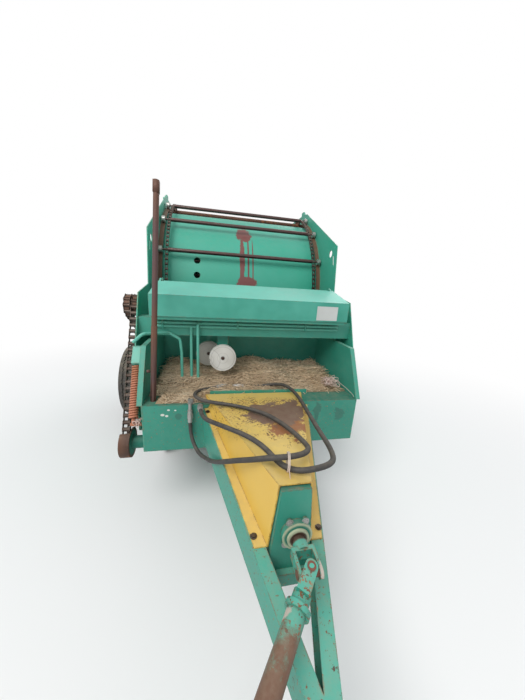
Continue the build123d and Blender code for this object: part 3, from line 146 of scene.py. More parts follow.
def mesh_of(name, vertices, faces, smooth=False):
    mesh = bpy.data.meshes.new(name)
    mesh.from_pydata(vertices, [], faces)
    mesh.polygons.foreach_set("use_smooth", [smooth] * len(mesh.polygons))
    shape = bmesh.new()
    shape.from_mesh(mesh)
    bmesh.ops.recalc_face_normals(shape, faces=shape.faces)
    shape.to_mesh(mesh)
    shape.free()
    return mesh


def tube_mesh(name, lines, radius, sides=6):
    """Closed round tubes along lists of points; the ends of each tube are capped."""
    vertices, faces = [], []
    for line in lines:
        places = [Vector(p) for p in line]
        base = len(vertices)
        side = None
        for index, place in enumerate(places):
            way = (places[min(index + 1, len(places) - 1)] - places[max(index - 1, 0)]).normalized()
            if side is None:
                side = way.orthogonal().normalized()
            side = (side - way * side.dot(way)).normalized()
            other = way.cross(side)
            for step in range(sides):
                turn = 2 * math.pi * step / sides
                vertices.append(place + (side * math.cos(turn) + other * math.sin(turn)) * radius)
        for index in range(len(places) - 1):
            for step in range(sides):
                a = base + index * sides + step
                b = base + index * sides + (step + 1) % sides
                faces.append((a, b, b + sides, a + sides))
        faces.append(tuple(range(base, base + sides))[::-1])
        faces.append(tuple(range(len(vertices) - sides, len(vertices))))
    return mesh_of(name, vertices, faces, True)


def nut(name, end, inner, start, length):
    """A hexagon nut round the steel end behind a hose's first or last point."""
    way = (Vector(end) - Vector(inner)).normalized()
    line = [Vector(end) + way * start, Vector(end) + way * (start + length)]
    mesh = tube_mesh(name, [line], NUT_RADIUS, 6)
    mesh.polygons.foreach_set("use_smooth", [False] * len(mesh.polygons))
    return new_piece(name, mesh)


def hose(name, node, points):
    """A hose as a smooth tube along its route, in place of its plain solid."""
    curve = bpy.data.curves.new(name, "CURVE")
    curve.dimensions = "3D"
    line = curve.splines.new("NURBS")
    line.points.add(len(points) - 1)
    for point, place in zip(line.points, points):
        point.co = (*place, 1.0)
    line.order_u = 3
    line.use_endpoint_u = True
    line.resolution_u = 8
    curve.bevel_depth = HOSE_RADIUS
    curve.bevel_resolution = 5
    curve.use_fill_caps = True
    piece = new_piece(name, curve)
    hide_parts(node)
    return piece


hose_nuts = [
    nut("hose_a_first_nut", HOSE_A[0], HOSE_A[1], 0.022, 0.026),
    nut("hose_a_last_nut", HOSE_A[-1], HOSE_A[-2], 0.020, 0.024),
    nut("hose_b_first_nut", HOSE_B[0], HOSE_B[1], 0.018, 0.024),
    nut("hose_b_last_nut", HOSE_B[-1], HOSE_B[-2], 0.020, 0.024),
]
hoses = [
    hose(
        "hose_a_tube", "hose_a", HOSE_A,
    ),
    hose("hose_b_tube", "hose_b", HOSE_B),
]


def wire(tree, kind, settings=None, **sockets):
    """Add a node, set its properties, and set or link its named inputs."""
    node = tree.nodes.new(kind)
    for name, value in (settings or {}).items():
        setattr(node, name, value)
    for name, value in sockets.items():
        title = int(name[1:]) if name[1:].isdigit() else name.replace("_", " ")
        socket = node.inputs[title]
        if isinstance(value, bpy.types.NodeSocket):
            tree.links.new(value, socket)
        elif hasattr(socket.default_value, "__len__") and len(socket.default_value) == 4:
            socket.default_value = (*value, 1.0) if len(value) == 3 else value
        else:
            socket.default_value = value
    return node


def link(start, end):
    start.id_data.links.new(start, end)


def object_place(tree):
    """Where a point of the surface is, in the object's own frame."""
    return tree.nodes.new("ShaderNodeTexCoord").outputs["Object"]


def noise(place, scale, detail=4.0, rough=0.6):
    values = {"Vector": place, "Scale": scale, "Detail": detail, "Roughness": rough}
    return wire(place.id_data, "ShaderNodeTexNoise", **values).outputs[0]


def spread(value, low, high, bottom=0.0, top=1.0):
    """Stretch the part of a value between low and high to run from bottom to top."""
    limits = {"From_Min": low, "From_Max": high, "To_Min": bottom, "To_Max": top}
    settings = {"interpolation_type": "SMOOTHSTEP"}
    return wire(value.id_data, "ShaderNodeMapRange", settings, Value=value, **limits).outputs[0]


def sums(operation, first, second=0.5, clamp=False):
    tree = next(value.id_data for value in (first, second) if hasattr(value, "id_data"))
    settings = {"operation": operation, "use_clamp": clamp}
    return wire(tree, "ShaderNodeMath", settings, _0=first, _1=second).outputs[0]


def times(first, second):
    return sums("MULTIPLY", first, second)


def plus(first, second):
    """The two together, held between 0 and 1."""
    return sums("ADD", first, second, True)


def vectors(operation, first, second=(0.0, 0.0, 0.0), result="Vector"):
    settings = {"operation": operation}
    node = wire(first.id_data, "ShaderNodeVectorMath", settings, _0=first, _1=second)
    return node.outputs[result]


def blend_colours(share, first, second):
    settings = {"data_type": "RGBA"}
    return wire(share.id_data, "ShaderNodeMix", settings, _0=share, _6=first, _7=second).outputs[2]


EDGE_RADIUS = 0.007
STAIN_GRAIN = 14.0


def new_group(name, inputs, outputs):
    """A shader node group; inputs are (name, kind, value) and outputs are names of numbers."""
    tree = bpy.data.node_groups.new(name, "ShaderNodeTree")
    for title, kind, value in inputs:
        socket = tree.interface.new_socket(title, in_out="INPUT", socket_type="NodeSocket" + kind)
        socket.default_value = value
    for title in outputs:
        tree.interface.new_socket(title, in_out="OUTPUT", socket_type="NodeSocketFloat")
    return tree, tree.nodes.new("NodeGroupInput").outputs, tree.nodes.new("NodeGroupOutput").inputs


def make_weathering():
    """Rust, chips, dust and fading, as masks over the surface, with a painted top-light mask on upward
    faces.
    """
    tree, given, out = new_group(
        "weathering",
        (("Rust", "Float", 0.4), ("Edge Wear", "Float", 0.5), ("Dust", "Float", 0.3)),
        ("Rust", "Dust", "Fade", "Height", "Painted Top Light"),
    )
    place = object_place(tree)
    broad = noise(place, 3.1, 3.0)
    fine = noise(place, 26.0, 5.0, 0.7)
    grit = noise(place, 140.0, 3.0, 0.6)
    patches = plus(times(broad, 0.55), times(fine, 0.45))
    threshold = spread(given["Rust"], 0.0, 1.0, 0.72, 0.36)
    blotches = spread(patches, threshold, plus(threshold, 0.07))
    normal = tree.nodes.new("ShaderNodeNewGeometry").outputs["Normal"]
    rounded = wire(tree, "ShaderNodeBevel", {"samples": 4}, Radius=EDGE_RADIUS).outputs[0]
    edge = spread(vectors("DOT_PRODUCT", rounded, normal, "Value"), 0.995, 0.86)
    worn_edge = times(times(edge, spread(fine, 0.40, 0.60)), given["Edge Wear"])
    link(plus(blotches, worn_edge), out["Rust"])
    up = wire(tree, "ShaderNodeSeparateXYZ", Vector=normal).outputs["Z"]
    lying = plus(times(spread(up, 0.15, 0.95), 0.8), 0.18)
    settled = times(lying, given["Dust"])
    link(times(settled, spread(fine, 0.25, 0.75)), out["Dust"])
    link(spread(broad, 0.3, 0.7), out["Fade"])
    # Painted top light: 1 on faces that look up, so that their colour is painted as lit from above.
    link(spread(up, 0.35, 0.95), out["Painted Top Light"])
    link(plus(times(grit, 0.4), times(fine, 0.6)), out["Height"])
    return tree


def make_stain():
    """One ragged stain about a centre, as a mask."""
    tree, given, out = new_group(
        "stain",
        (
            ("Centre", "Vector", (0, 0, 0)), ("Size", "Vector", (1, 1, 1)),
            ("Raggedness", "Float", 0.6),
        ),
        ("Mask",),
    )
    place = object_place(tree)
    away = vectors("SUBTRACT", place, given["Centre"])
    far = vectors("LENGTH", vectors("DIVIDE", away, given["Size"]), result="Value")
    grain = noise(place, STAIN_GRAIN, 6.0, 0.7)
    torn = times(sums("SUBTRACT", grain, 0.5), given["Raggedness"])
    reach = sums("ADD", far, times(torn, 3.0))
    link(spread(reach, 1.05, 0.85), out["Mask"])
    return tree


weathering = make_weathering()
stain = make_stain()


def new_material(name):
    material = bpy.data.materials.new(name)
    material.use_nodes = True
    tree = material.node_tree
    return material, tree, tree.nodes["Principled BSDF"].inputs


def place_group(tree, group, **values):
    node = tree.nodes.new("ShaderNodeGroup")
    node.node_tree = group
    for name, value in values.items():
        node.inputs[name.replace("_", " ")].default_value = value
    return node.outputs


def raise_surface(surface, height, depth, strength=0.6):
    tree = height.id_data
    bump = wire(tree, "ShaderNodeBump", Height=height, Distance=depth, Strength=strength)
    link(bump.outputs[0], surface["Normal"])


def add_stains(covered, stains):
    """Lay ragged stains over a colour; each is (colour, centre, size, raggedness)."""
    for stain_colour, centre, size, raggedness in stains:
        mark = place_group(
            covered.id_data, stain, Centre=centre, Size=size, Raggedness=raggedness
        )
        covered = blend_colours(mark["Mask"], covered, stain_colour)
    return covered


def paint(name, colour, faded, rust=0.35, edge_wear=0.7, dust=0.35, stains=(), speckles=()):
    """Old machine paint with rust patches, worn edges and dust, and upward faces painted towards the
    faded tone as painted top light; speckles are (centre, size, amount).
    """
    material, tree, surface = new_material(name)
    worn = place_group(tree, weathering, Rust=rust, Edge_Wear=edge_wear, Dust=dust)
    # Painted light: the second tone comes in partly by random fade and partly as painted top light on
    # upward faces.
    fade_and_top_light = plus(times(worn["Fade"], 0.35), times(worn["Painted Top Light"], 0.6))
    coat_with_top_light = blend_colours(fade_and_top_light, colour, faded)
    place = object_place(tree)
    mottled = spread(noise(place, 40.0), 0.35, 0.65)
    rust_tone = blend_colours(mottled, DARK_RUST, ORANGE_RUST)
    covered = blend_colours(worn["Rust"], coat_with_top_light, rust_tone)
    for centre, size, amount in speckles:
        region = place_group(tree, stain, Centre=centre, Size=size, Raggedness=0.8)["Mask"]
        dots = spread(noise(place, 95.0, 3.0, 0.7), 0.66 - amount, 0.70 - amount)
        covered = blend_colours(times(region, dots), covered, rust_tone)
    covered = blend_colours(worn["Dust"], add_stains(covered, stains), DUST)
    link(covered, surface["Base Color"])
    dull = plus(times(worn["Rust"], 0.4), times(worn["Fade"], 0.15))
    link(plus(dull, 0.42), surface["Roughness"])
    raise_surface(surface, plus(worn["Height"], worn["Rust"]), 0.0012)
    return material


def metal(name, colour, second, rust=0.5, shine=0.35, dust=0.2, metallic=0.8, stains=()):
    """Bare or rusted metal with two tones, rust patches and dust."""
    material, tree, surface = new_material(name)
    worn = place_group(tree, weathering, Rust=rust, Edge_Wear=0.0, Dust=dust)
    base = blend_colours(worn["Fade"], colour, second)
    mottled = spread(noise(object_place(tree), 65.0, 6.0, 0.75), 0.35, 0.68)
    rust_tone = blend_colours(mottled, BROWN_RUST, ORANGE_RUST)
    covered = add_stains(blend_colours(worn["Rust"], base, rust_tone), stains)
    link(blend_colours(worn["Dust"], covered, DUST), surface["Base Color"])
    bare = sums("SUBTRACT", 1.0, worn["Rust"])
    link(times(bare, metallic), surface["Metallic"])
    link(plus(times(worn["Rust"], 0.45), shine), surface["Roughness"])
    raise_surface(surface, plus(worn["Height"], mottled), 0.0010)
    return material


def soft_finish(name, colour, old, dust, dullness, depth, strength):
    """A finish that doesn't rust: two tones, dust and a fine grain."""
    material, tree, surface = new_material(name)
    worn = place_group(tree, weathering, Rust=0.0, Edge_Wear=0.0, Dust=dust)
    tone = blend_colours(worn["Fade"], colour, old)
    link(blend_colours(worn["Dust"], tone, DUST), surface["Base Color"])
    link(plus(times(worn["Fade"], 0.2), dullness), surface["Roughness"])
    raise_surface(surface, worn["Height"], depth, strength)
    return material


def rubber(name, dust):
    return soft_finish(name, BLACK_RUBBER, DUSTY_RUBBER, dust, 0.62, 0.0006, 0.4)


def plastic(name, colour, old, dust=0.35):
    return soft_finish(name, colour, old, dust, 0.4, 0.0003, 0.3)


WHITE_CHIP = (0.600, 0.620, 0.560)
SHEET_STAIN = (0.170, 0.050, 0.045)
COLLAR_WHITE = (0.500, 0.430, 0.370)
COLLAR_AT = (-0.0640, -1.4700, 0.6800)
BEAM_FACE_Y = -0.581
SHAFT_X = 0.010
SHAFT_Z = 0.700

# Marks on the beam's face, as (colour, x, z, width, height, raggedness)
BEAM_MARKS = (
    (WHITE_CHIP, -0.522, 0.757, 0.010, 0.007, 0.3),
    (WHITE_CHIP, -0.500, 0.750, 0.008, 0.006, 0.4),
    (WHITE_CHIP, -0.490, 0.785, 0.008, 0.005, 0.4),
    (WHITE_CHIP, -0.455, 0.782, 0.006, 0.004, 0.4),
    (SMEAR, -0.440, 0.745, 0.020, 0.020, 0.6),
    (SMEAR, 0.372, 0.735, 0.020, 0.085, 1.2),
    (SMEAR, 0.520, 0.720, 0.030, 0.036, 1.4),
)

# The red stain that runs down the chamber's sheet, as (centre, width, height, raggedness)
SHEET_MARKS = (
    ((0.010, 0.520, 1.895), 0.080, 0.060, 0.45),
    ((-0.010, 0.500, 1.650), 0.024, 0.230, 0.30),
    ((0.045, 0.500, 1.660), 0.008, 0.260, 0.14),
    ((0.085, 0.500, 1.640), 0.006, 0.240, 0.12),
    ((0.030, 0.500, 1.450), 0.095, 0.080, 0.50),
)


def both_walls(colour, x, width):
    """Stains across everything near a distance from the middle, on both sides."""
    return [(colour, (side * x, 0.9, 1.3), (width, 9.0, 9.0), 0.02) for side in (-1, 1)]


def round_shaft(colour, y, reach, radius, raggedness=0.05):
    """A stain about the input shaft's axis."""
    return (colour, (SHAFT_X, y, SHAFT_Z), (radius, reach, radius), raggedness)


green = paint("green_paint", MID_GREEN, PALE_GREEN, 0.22)
beam_green = paint(
    "beam_green", MID_GREEN, DEEP_GREEN, 0.24,
    stains=[
        (colour, (x, BEAM_FACE_Y, z), (width, 0.05, height), raggedness)
        for colour, x, z, width, height, raggedness in BEAM_MARKS
    ],
    speckles=[((0.0, BEAM_FACE_Y, 0.70), (0.75, 0.3, 0.2), 0.035)],
)
sheet_green = paint(
    "sheet_green", SHEET_GREEN, PALE_GREEN, 0.16, dust=0.12,
    stains=[
        (SHEET_STAIN, centre, (width, 0.60, height), raggedness)
        for centre, width, height, raggedness in SHEET_MARKS
    ],
)
# Upward faces of these paints take HOOD_TOP partly as random fade and partly as painted top light.
hood_green = paint("hood_green", HOOD_GREEN, HOOD_TOP, 0.16, 0.6, 0.12)
light_green = paint("light_green_paint", PALE_GREEN, HOOD_TOP, 0.22)
wall_green = paint(
    "wall_green", SHEET_GREEN, PALE_GREEN, 0.18, stains=both_walls(BROWN_RUST, 0.674, 0.026)
)
drawbar_green = paint(
    "drawbar_green", MID_GREEN, PALE_GREEN, 0.30, 0.9, 0.30,
    speckles=(((0.0, -1.200, 0.620), (0.700, 0.900, 0.400), 0.050),),
)
shaft_green = paint(
    "shaft_green", MID_GREEN, PALE_GREEN, 0.46, 1.0, 0.30,
    stains=(
        (BROWN_RUST, (-0.380, -1.850, 0.615), (0.47, 0.47, 0.47), 0.25),
        round_shaft(DARK_RUST, -1.296, 0.028, 0.040, 0.10),
        (COLLAR_WHITE, COLLAR_AT, (0.034, 0.014, 0.030), 0.55),
        (COLLAR_WHITE, (0.044, -1.395, 0.705), (0.012, 0.030, 0.022), 0.60),
    ),
    speckles=(
        ((0.010, -1.420, 0.690), (0.100, 0.100, 0.100), 0.110),
        ((-0.080, -1.520, 0.660), (0.140, 0.140, 0.120), 0.090),
    ),
)
plate_green = paint(
    "plate_green", MID_GREEN, DEEP_GREEN, 0.30, 0.9, 0.30,
    stains=(
        round_shaft(CREAM, -1.292, 0.0120, 0.056, 0.08),
        round_shaft(DEEP_GREEN, -1.2905, 0.0040, 0.0470),
        round_shaft(CREAM, -1.300, 0.0060, 0.0385),
        round_shaft(DARK_RUST, -1.303, 0.0120, 0.0315, 0.10),
    ),
)
cover_yellow = paint(
    "cover_yellow", COVER_YELLOW, PALE_YELLOW, 0.26, 0.8, 0.25, stains=(
        (ORANGE_RUST, (0.085, -0.860, 0.850), (0.105, 0.130, 0.120), 1.0),
        (PATCH_BROWN, (0.060, -0.765, 0.840), (0.150, 0.130, 0.120), 0.8),
        (PATCH_BROWN, (0.170, -0.700, 0.840), (0.060, 0.110, 0.080), 1.1),
    ),
    speckles=(
        ((-0.090, -0.720, 0.830), (0.190, 0.200, 0.12), 0.10),
        ((0.060, -0.640, 0.830), (0.260, 0.090, 0.12), 0.14),
        ((0.080, -0.860, 0.840), (0.160, 0.180, 0.12), 0.13),
    ),
)
chain_steel = metal("chain_steel", DARK_RUST, WORN_STEEL, 0.45, 0.5)
rod_steel = metal(
    "rod_steel", ROD_BROWN, PURPLE_RUST, 0.22, 0.34, stains=both_walls(BRIGHT_STEEL, 0.680, 0.022)
)
drive_steel = metal(
    "drive_steel", BROWN_RUST, DARK_RUST, 0.45, 0.6, 0.2, metallic=0.2, stains=(
        (DEEP_GREEN, (-0.668, -0.490, 0.542), (0.049, 0.060, 0.060), 0.05),
        (DEEP_GREEN, (-0.709, -0.490, 0.542), (0.006, 0.078, 0.078), 0.02),
    ),
)
rusty_steel = metal("rusty_steel", BROWN_RUST, DARK_RUST, 0.55, 0.6, metallic=0.3)
mast_rust = metal("mast_rust", PURPLE_RUST, BROWN_RUST, 0.40, 0.6, 0.1, metallic=0.2)
bare_steel = metal("bare_steel", WORN_STEEL, DARK_RUST, 0.45, 0.45)
zinc_steel = metal("zinc_steel", BRIGHT_STEEL, ZINC_DULL, 0.12, 0.40, 0.1, metallic=0.35)
cross_steel = metal(
    "cross_steel", RED_RUST, BROWN_RUST, 0.3, 0.5, 0.1, metallic=0.2, stains=(
        (PALE_GREEN, (0.010, -1.4019, 0.7374), (0.0075, 0.006, 0.0075), 0.02),
    ),
)
tyre_rubber = rubber("tyre_rubber", 0.65)
hose_rubber = rubber("hose_rubber", 0.25)
pale_plastic = plastic("pale_plastic", PLASTIC_GREY, OLD_PLASTIC)
dark_pin = metal("dark_pin", DARK_RUST, DARK_RUST, 0.2, 0.6, 0.1, metallic=0.2)
spring_rust = metal("spring_rust", SPRING_RED, ORANGE_RUST, 0.15, 0.6, 0.1, metallic=0.05)


PULLEY_AXES = ((-0.194, 1.000), (-0.285, 0.985))
PULLEY_RINGS = ((0.074, 0.004, 0.30), (0.034, 0.003, 0.22), (0.0115, 0.003, 0.9))
RING_SHADE = (0.10, 0.10, 0.09)


def pulley_finish(name):
    """Pale plastic with turned grooves; a ring is (radius, half width, depth) about an axis."""
    material, tree, surface = new_material(name)
    place = object_place(tree)
    worn = place_group(tree, weathering, Rust=0.0, Edge_Wear=0.0, Dust=0.25)
    tone = blend_colours(worn["Fade"], PLASTIC_GREY, OLD_PLASTIC)
    height = times(worn["Height"], 0.1)
    for x, z in PULLEY_AXES:
        flat = vectors("SUBTRACT", place, (x, 0.0, z))
        flat = vectors("MULTIPLY", flat, (1.0, 0.0, 1.0))
        out = vectors("LENGTH", flat, result="Value")
        for radius, width, depth in PULLEY_RINGS:
            off = sums("ABSOLUTE", sums("SUBTRACT", out, radius))
            ring = spread(off, width, 0.0, 0.0, depth)
            tone = blend_colours(ring, tone, RING_SHADE)
            height = sums("SUBTRACT", height, ring)
    link(blend_colours(worn["Dust"], tone, DUST), surface["Base Color"])
    surface["Roughness"].default_value = 0.5
    raise_surface(surface, height, 0.002, 0.5)
    return material


pulley_white = pulley_finish("pulley_white")
straw = plastic("straw", STRAW, PALE_STRAW, 0.0)
old_straw = plastic("old_straw", OLD_STRAW, STRAW, 0.0)
straw_mat = plastic("straw_mat", OLD_STRAW, DARK_STRAW, 0.0)
twine = plastic("twine", TWINE_PINK, TWINE_WHITE)
paper_plate = plastic("paper_plate", PAPER, PAPER_SHADE)

by_slot = {
    "green_paint": green, "light_green_paint": light_green, "yellow_paint": cover_yellow,
    "bare_steel": bare_steel, "rusty_steel": rusty_steel, "tyre_rubber": tyre_rubber,
    "pale_plastic": pale_plastic, "hose_rubber": hose_rubber, "zinc_steel": zinc_steel,
}
by_node = {}
for finish, nodes in (
    (beam_green, "front_beam"), (sheet_green, "front_sheet"), (hood_green, "hood_lid"),
    (chain_steel, "front_conveyor gate_conveyor drive_chains"), (rod_steel, "front_rods gate_rods"),
    (mast_rust, "mast"), (drawbar_green, "drawbar hitch_eye stand_leg"),
    (wall_green, "chamber_wall_left chamber_wall_right gate_wall_left gate_wall_right"),
    (drive_steel, "drive_sprockets"), (cross_steel, "pto_cross"),
    (pulley_white, "twine_pulley_front twine_pulley_rear"),
    (shaft_green, "pto_shaft pto_input_shaft"), (plate_green, "bearing_plate"),
):
    for node_name in nodes.split():
        by_node[node_name] = finish


def dress_nodes():
    for part in frame["record"]["subparts"]:
        name = part["node"]
        node = bpy.data.objects[name]
        node.data.materials.clear()
        node.data.materials.append(by_node.get(name, by_slot[part["material_slot"]]))


dress_nodes()
for tube in hoses:
    tube.data.materials.append(hose_rubber)
for collar in hose_nuts:
    collar.data.materials.append(zinc_steel)


def turned_mesh(name, section, centre, steps):
    """A closed ring about an axis along X; section(angle) gives its (x, distance from the axis) loop."""
    vertices, faces = [], []
    count = len(section(0.0))
    for step in range(steps):
        turn = 2 * math.pi * step / steps
        across, up = math.cos(turn), math.sin(turn)
        for x, out in section(turn):
            vertices.append((centre[0] + x, centre[1] + out * across, centre[2] + out * up))
    for step in range(steps):
        for index in range(count):
            a = step * count + index
            b = step * count + (index + 1) % count
            shift = ((step + 1) % steps) * count - step * count
            faces.append((a, b, b + shift, a + shift))
    return mesh_of(name, vertices, faces)


def copies_tree(name, more_inputs=()):
    """Geometry nodes that copy a template to points, join the copies and give them a finish."""
    tree = bpy.data.node_groups.new(name, "GeometryNodeTree")
    inputs = (("Geometry", "Geometry"), ("Template", "Object"), ("Finish", "Material"), *more_inputs)
    for title, kind in inputs:
        tree.interface.new_socket(title, in_out="INPUT", socket_type="NodeSocket" + kind)
    tree.interface.new_socket("Geometry", in_out="OUTPUT", socket_type="NodeSocketGeometry")
    given = tree.nodes.new("NodeGroupInput").outputs
    template = wire(tree, "GeometryNodeObjectInfo", Object=given["Template"]).outputs["Geometry"]
    copies = wire(tree, "GeometryNodeInstanceOnPoints", Instance=template)
    joined = wire(tree, "GeometryNodeRealizeInstances", Geometry=copies.outputs[0]).outputs[0]
    finish = wire(tree, "GeometryNodeSetMaterial", Geometry=joined, Material=given["Finish"])
    link(finish.outputs[0], tree.nodes.new("NodeGroupOutput").inputs[0])
    return tree, given, copies.inputs


def make_copier():
    """Geometry nodes that put a copy of a template at each point, turned by its own angles."""
    tree, given, copies = copies_tree("placed_copies")
    settings = {"data_type": "FLOAT_VECTOR"}
    turn = wire(tree, "GeometryNodeInputNamedAttribute", settings, Name="turn").outputs["Attribute"]
    link(given["Geometry"], copies["Points"])
    link(turn, copies["Rotation"])
    return tree


copier = make_copier()


def run_tree(name, surface, tree, values, template_mesh):
    """Run geometry nodes on a mesh with a template, and return the result as a plain mesh."""
    template = new_object(name + "_template", template_mesh)
    holder = new_object(name + "_holder", surface)
    modifier = holder.modifiers.new("copies", "NODES")
    modifier.node_group = tree
    values = {**values, "Template": template}
    for item in tree.interface.items_tree:
        if item.in_out == "INPUT" and item.name in values:
            modifier[item.identifier] = values[item.name]
    bpy.context.view_layer.update()
    mesh = bpy.data.meshes.new_from_object(holder.evaluated_get(bpy.context.evaluated_depsgraph_get()))
    mesh.name = name
    for thing in (template, holder):
        bpy.data.objects.remove(thing)
    return mesh


def placed_copies(name, template_mesh, places, material):
    """One joined piece of copies of a template; places are (point, Euler angles)."""
    points = bpy.data.meshes.new(name + "_points")
    points.from_pydata([place for place, angles in places], [], [])
    turns = points.attributes.new("turn", "FLOAT_VECTOR", "POINT")
    for value, (place, angles) in zip(turns.data, places):
        value.vector = angles
    mesh = run_tree(name, points, copier, {"Finish": material}, template_mesh)
    return new_piece(name, mesh)


def add_mesh(name, mesh, material, replaced=None, body="chassis"):
    mesh.materials.append(material)
    piece = new_piece(name, mesh, body)
    if replaced:
        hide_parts(replaced)


def add_tubes(name, lines, radius, sides, material, replaced=None):
    add_mesh(name, tube_mesh(name, lines, radius, sides), material, replaced)


# Tyres with a ribbed tread
TYRE_GROOVES = (-0.078, -0.027, 0.027, 0.078)
GROOVE_SECTION = ((0.009, 0.0), (0.006, 0.011), (-0.006, 0.011), (-0.009, 0.0))
CROWN_R = 0.3848
CROWN_DROP = 0.026
SHOULDER_X = 0.124
SHOULDER = [(SHOULDER_X, 0.357), (0.112, 0.3635)]
TYRE_FLANK = [
    (0.0, 0.2005), (0.095, 0.2005), (0.113, 0.232), (SHOULDER_X, 0.262), (0.1290, 0.298),
    (0.1285, 0.330),
]
TYRE_STEPS = 240
TREAD_WAVES = 60
TREAD_SWAY = 0.0035


def other_side(points):
    return [(-x, out) for x, out in reversed(points)]


def tyre_section(turn):
    """The tyre's section at one angle, as (distance from its middle, distance from its axis)."""
    sway = TREAD_SWAY * (1 if math.sin(turn * TREAD_WAVES) > 0 else -1)
    crown = []
    for groove in reversed(TYRE_GROOVES):
        for offset, depth in GROOVE_SECTION:
            x = groove + offset
            crown.append((x + sway, CROWN_R - CROWN_DROP * (x / SHOULDER_X) ** 2 - depth))
    return TYRE_FLANK + SHOULDER + crown + other_side(SHOULDER) + other_side(TYRE_FLANK[1:])


def make_tyres():
    for side in ("left", "right"):
        low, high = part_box(f"tyre_{side}")
        centre = (low + high) / 2
        mesh = turned_mesh(f"tyre_{side}_tread", tyre_section, centre, TYRE_STEPS)
        add_mesh(
            f"tyre_{side}_tread", mesh, tyre_rubber, f"tyre_{side}", f"wheel_{side}"
        )


# Roller chains: waisted link plates on both sides of the rollers
CHAMBER_CENTRE = (1.160, 1.3350)
LOOP_RUNS = (0.725, 0.853)
LOOP_TURN_R = 0.064
LOOP_ANGLES = (15.5, 118.0)
FIRST_ROD_ANGLE = 6.0
LINKS_PER_ROD = 8
ROD_PITCH = 0.312
DRIVE_PITCH = 0.0381
LOWER_SPROCKET = (-0.490, 0.542)
UPPER_SPROCKET = (-0.120, 1.290)
LOWER_SPROCKET_R = 0.043
UPPER_SPROCKET_R = 0.060
CONVEYOR_SPROCKET_R = 0.095
CONVEYOR_X = 0.625
DRIVE_X = (-0.734, -0.780)
ARC_STEP = 0.004
PLATE = 0.0019
INNER_INSET = 0.0021
ROLLER_INSET = 0.0042
PIN_INSET = 0.0002
PIN_SHARE = 0.17
WAIST = 0.36

# A link's height and width, and its roller's radius
CONVEYOR_LINK = (0.026, 0.022, 0.0105)
DRIVE_LINK = (0.032, 0.040, 0.0120)


def on_circle(centre, radius, turn):
    return (centre[0] + radius * math.cos(turn), centre[1] + radius * math.sin(turn))


def on_ring(radius, angle):
    """The (y, z) point of a circle about the chamber, by its angle forward of the top."""
    return on_circle(CHAMBER_CENTRE, radius, math.radians(90 + angle))


def arc_points(centre, radius, first, sweep):
    """Closely spaced (y, z) points along an arc."""
    steps = max(8, round(abs(sweep) * radius / ARC_STEP))
    for step in range(steps):
        yield on_circle(centre, radius, first + sweep * step / steps)


def loop_line():
    """The front conveyor chain's closed line: outer run, lower turn, inner run and upper turn."""
    first, last = (math.radians(90 + angle) for angle in LOOP_ANGLES)
    middle_r = sum(LOOP_RUNS) / 2
    line = list(arc_points(CHAMBER_CENTRE, LOOP_RUNS[1], first, last - first))
    line += arc_points(on_ring(middle_r, LOOP_ANGLES[1]), LOOP_TURN_R, last, math.pi)
    line += arc_points(CHAMBER_CENTRE, LOOP_RUNS[0], last, first - last)
    line += arc_points(on_ring(middle_r, LOOP_ANGLES[0]), LOOP_TURN_R, first + math.pi, math.pi)
    return line


def belt_line(first, first_r, second, second_r):
    """The closed line of a chain round two sprockets."""
    facing = math.atan2(second[1] - first[1], second[0] - first[0])
    side = math.acos((first_r - second_r) / math.dist(first, second))
    ends = [
        on_circle(centre, radius, angle)
        for centre, radius in ((first, first_r), (second, second_r))
        for angle in (facing + side, facing - side)
    ]
    line = [ends[0]]
    line += arc_points(second, second_r, facing + side, -2 * side)
    line.append(ends[3])
    line += arc_points(first, first_r, facing - side, 2 * side - 2 * math.pi)
    return line


def even_places(line, count, offset):
    """Evenly spaced (y, z) places round a closed line."""
    closed = line + line[:1]
    lengths = [math.dist(a, b) for a, b in zip(closed, closed[1:])]
    total = sum(lengths)
    places = []
    for index in range(count):
        along = (offset + index * total / count) % total
        number = 0
        while along > lengths[number]:
            along -= lengths[number]
            number += 1
        share = along / lengths[number]
        ends = zip(closed[number], closed[number + 1])
        places.append(tuple(a + (b - a) * share for a, b in ends))
    return places


def prism(vertices, faces, outline, x_low, x_high):
    """Add a closed prism along X on a (y, z) outline."""
    base = len(vertices)
    count = len(outline)
    vertices += [(x_low, y, z) for y, z in outline] + [(x_high, y, z) for y, z in outline]
    faces.append(tuple(range(base, base + count)))
    faces.append(tuple(range(base + count, base + 2 * count))[::-1])
    for index in range(count):
        after = (index + 1) % count
        faces.append((base + index, base + after, base + count + after, base + count + index))


def ring_outline(centre, radius, steps, first=0.0, sweep=2 * math.pi):
    last = steps if sweep == 2 * math.pi else steps - 1
    return [on_circle(centre, radius, first + sweep * step / last) for step in range(steps)]


def link_mesh(name, pitch, height, inset, half_width, roller_r):
    """One link: two waisted plates, and a roller with its pin at the first end."""
    outline = []
    for x, side in ((0, 1), (pitch, -1)):
        outline += ring_outline((x, 0), height / 2, 5, math.radians(side * 60), math.radians(240))
        for share in (0.3, 0.7)[::side]:
            outline.append((pitch * share, -side * height * WAIST))
    vertices, faces = [], []
    reach = half_width - inset
    for low in (-reach, reach - PLATE):
        prism(vertices, faces, outline, low, low + PLATE)
    for radius, sides, gap in ((roller_r, 10, ROLLER_INSET), (height * PIN_SHARE, 6, PIN_INSET)):
        outline = ring_outline((0, 0), radius, sides)
        prism(vertices, faces, outline, gap - half_width, half_width - gap)
    return mesh_of(name, vertices, faces)


